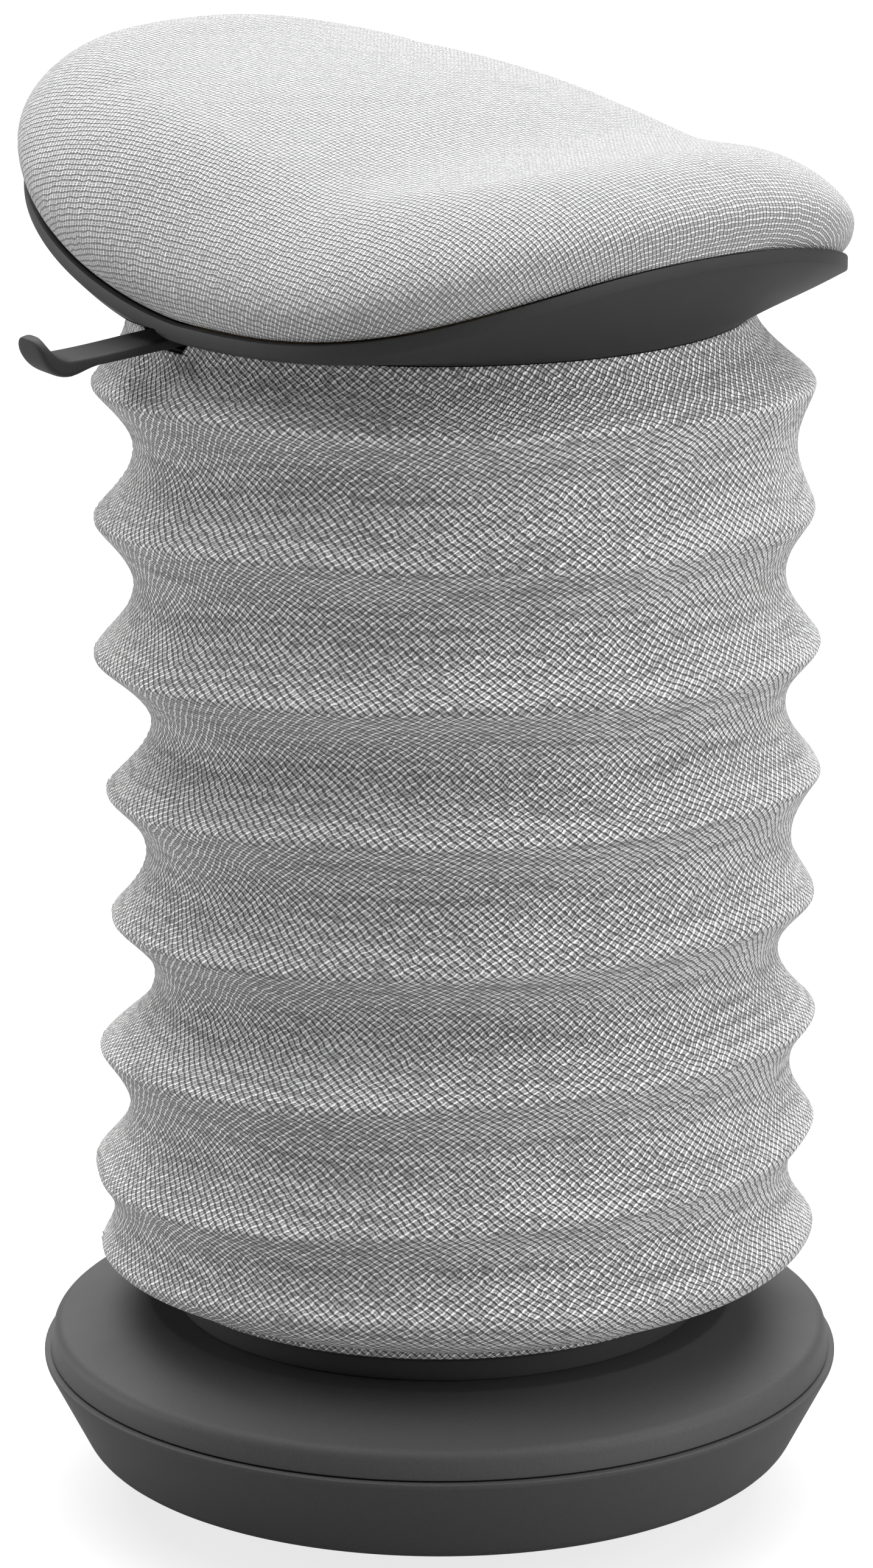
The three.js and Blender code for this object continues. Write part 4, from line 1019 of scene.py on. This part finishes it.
def make_cover_screws(bowl, steel):
    """The screws that hold the cover, each with its head sunk in a well in the bowl's underside."""
    roof = rock_height(screw_circle) + screw_well_depth
    face = rock_height(screw_circle + screw_head_radius) + screw_sink
    well = screw_head_radius + screw_sink
    for number in range(screw_count):
        turn = screw_turn + number * 2 * math.pi / screw_count
        place = Matrix.Translation(Vector((math.cos(turn), math.sin(turn), 0)) * screw_circle * mm)
        block = turned("well", np.array([[0, 0], [well, 0], [well, roof], [0, roof]]), screw_columns)
        weld(block)
        block.data.transform(place)
        carve(bowl, block)
        head = turned(f"cover_screw_head_{number + 1}", np.array([
            [0, face + screw_socket_depth],
            [screw_socket_radius, face + screw_socket_depth],
            [screw_socket_radius, face],
            [screw_head_radius * screw_crown_share, face],
            [screw_head_radius, face + screw_head_height * screw_chamfer_share],
            [screw_head_radius, face + screw_head_height],
            [0, face + screw_head_height],
        ]), screw_columns)
        weld(head)
        head.data.transform(place)
        head.data.set_sharp_from_angle(angle=sharp_angle)
        head.data.materials.append(steel)
        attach(head, "base")
        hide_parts(f"cover_screw_{number + 1}")


def make_lower_ring(plastic):
    """The turning ring that the hem is clipped to. It draws in below the hem, into its shadow."""
    bore = collar_radius + ring_bore_gap
    waist, groove = hem_radius - ring_waist_inset, hem_radius - ring_groove_inset
    foot, top = shelf_height + base_gap, sleeve_bottom - base_gap
    ring = turned("hem_ring", rounded([
        [bore, foot, 0],
        [waist, foot, ring_fillet],
        [waist, top - ring_flange, ring_waist_fillet],
        [hem_radius - ring_rim_inset, top, ring_fillet],
        [groove, top, 0],
        [groove, top + ring_bead_height, ring_fillet],
        [bore, top + ring_bead_height, 0],
        [bore, foot, 0],
    ]))
    weld(ring)
    ring.data.set_sharp_from_angle(angle=sharp_angle)
    ring.data.materials.append(plastic)
    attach(ring, "column")
    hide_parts("sleeve_lower_ring")


# Lever

def handle_line():
    """The middle of the handle's side view as [reach, height]: a shallow fall, then the curl."""
    share = np.linspace(0, 1, handle_rows)[:-1]
    eased = (share + share * share * (3 - 2 * share)) / 2
    fall = np.stack([
        handle_start + (curl_reach - handle_start) * share,
        -handle_drop * eased,
    ], axis=-1)
    turn = np.sin(np.linspace(0, math.pi / 2, curl_rows)) * curl_angle
    curl = np.stack([
        curl_reach + curl_radius * np.sin(turn),
        curl_radius * (1 - np.cos(turn)) - handle_drop,
    ], axis=-1)
    return np.concatenate([fall, curl])


def make_handle(plastic):
    """The lever's handle: a flat bar with a rounded tip, a belly below and its end curled up."""
    line = handle_line()
    along = np.gradient(line, axis=0)
    along /= np.linalg.norm(along, axis=1)[:, None]
    steps = np.linalg.norm(np.diff(line, axis=0), axis=1)
    left = np.concatenate([np.cumsum(steps[::-1])[::-1], [0]])
    short = np.maximum(handle_corner_radius - left, 0)
    cut = handle_corner_radius - np.sqrt(handle_corner_radius ** 2 - short ** 2)
    half_width_here = handle_width / 2 - cut
    share = np.linspace(0, 1, len(line))
    half_thickness = (handle_thickness + (handle_tip_thickness - handle_thickness) * share) / 2
    belly = handle_belly * np.sin(np.minimum(left / handle_belly_length, 1) * math.pi) ** 2
    angle = around(handle_columns)
    wide, thick = (
        np.sign(wave) * np.abs(wave) ** handle_edge_share for wave in (np.cos(angle), np.sin(angle)))
    c, s = math.cos(lever_angle), math.sin(lever_angle)
    rings = []
    for index in range(len(line)):
        across = half_width_here[index] * wide
        offset = half_thickness[index] * thick + belly[index] * np.minimum(thick, 0)
        reach = line[index, 0] - along[index, 1] * offset
        height = seat_underside + line[index, 1] + along[index, 0] * offset
        rings.append(np.stack([c * reach - s * across, s * reach + c * across, height], axis=-1))
    ends = [np.broadcast_to(ring.mean(axis=0), ring.shape) for ring in (rings[0], rings[-1])]
    handle = skin("lever_grip", np.array([ends[0], *rings, ends[1]]))
    weld(handle)
    handle.data.set_sharp_from_angle(angle=handle_sharp_angle)
    handle.data.materials.append(plastic)
    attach(handle, "lever")
    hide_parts("lever_handle")


# The whole stool

make_camera()
bpy.context.scene.view_settings.view_transform = "Standard"
for lamp_name, lamp in lamps.items():
    make_lamp(lamp_name, *lamp)
light_the_world(world_strength)
make_floor()

# Injection-moulded polypropylene from a spark-eroded mould: a fine, even grain and a dull gloss
plastic = grained("moulded_polypropylene", "#414141", 0.55, 1.1, 0.05, Specular_IOR_Level=0.2)
# The moulded polypropylene made darker, as painted shade for the pieces that lie in shade: the seat's pan,
# the ring under the hem and the lever's handle
plastic_painted_shade = grained("polypropylene_painted_shade", "#2c2c2c", 0.55, 1.1, 0.05, Specular_IOR_Level=0.2)
# Moulded rubber: darker, with hardly any gloss
rubber = grained("moulded_rubber", "#1c1c1c", 0.8, 0.8, 0.05, Specular_IOR_Level=0.3)
# Powder-coated pressed steel: a black coat with a slight orange peel
coated_steel = grained("powder_coated_steel", "#1d1d1f", 0.42, 1.6, 0.04)
# Zinc-plated and ground steel: bright, with faint rings of grinding
plated_steel = grained("zinc_plated_steel", "#b9bbbe", 0.3, 0.6, 0.01, stretch=(0.2, 0.2, 1), Metallic=1)
# Acetal resin: pale, smooth and waxy
pale_resin = grained("moulded_acetal", "#d9d6cc", 0.45, 2.5, 0.02)
# Birch plywood: pale long grain with a dry surface
plywood = grained("birch_plywood", "#b98f5e", 0.7, 1.2, 0.08, stretch=(1, 0.06, 1))
# Sand-cast iron: a coarse dark skin
cast_iron = grained("sand_cast_iron", "#4a4b4d", 0.75, 2.2, 0.3, Metallic=0.6)
# Melange polyester upholstery of the sleeve: pale floats on a dark ground, streaky and quite matt
sleeve_weave = woven_cloth("sleeve_weave", "#505050", "#f6f6f6", 2.2, 1.7, 2.2, 0.36, 0.55)
# The seat's cloth of the same yarns, woven finer, with paler pits so that it reads as a lighter grey: the
# paler pits are painted light, standing in for the strong light on the seat's top
seat_weave_painted_light = woven_cloth("seat_weave_painted_light", "#7a7a7a", "#e7e7e7", 1.55, 1.55, 1.8, 0.12, 0.4)
# Bonded polyester sewing thread, as pale as the cloth
thread = grained("polyester_thread", "#d2d2d0", 0.6, 0.5, 0.05)

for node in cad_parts.values():
    for slot in node.material_slots:
        slot.material = {
            "painted_steel": coated_steel, "bright_steel": plated_steel, "pale_resin": pale_resin,
            "plywood": plywood, "ballast_iron": cast_iron, "sole_rubber": rubber, "bumper_rubber": rubber,
        }.get(slot.material.name, plastic)

round_the_sleeve = around(sleeve_columns)
hoops = hoop_rings(round_the_sleeve)
make_sleeve(hoops, round_the_sleeve, sleeve_weave, thread)
make_hoops(hoops, round_the_sleeve, plated_steel)
# The cushion's paler cloth is painted light for the strong light on the seat's top
make_cushion(seat_weave_painted_light)
# The pan, the ring under the hem and the handle take the darker plastic: painted shade
make_shell(plastic_painted_shade)
make_base(plastic, rubber, plated_steel)
make_lower_ring(plastic_painted_shade)
make_handle(plastic_painted_shade)
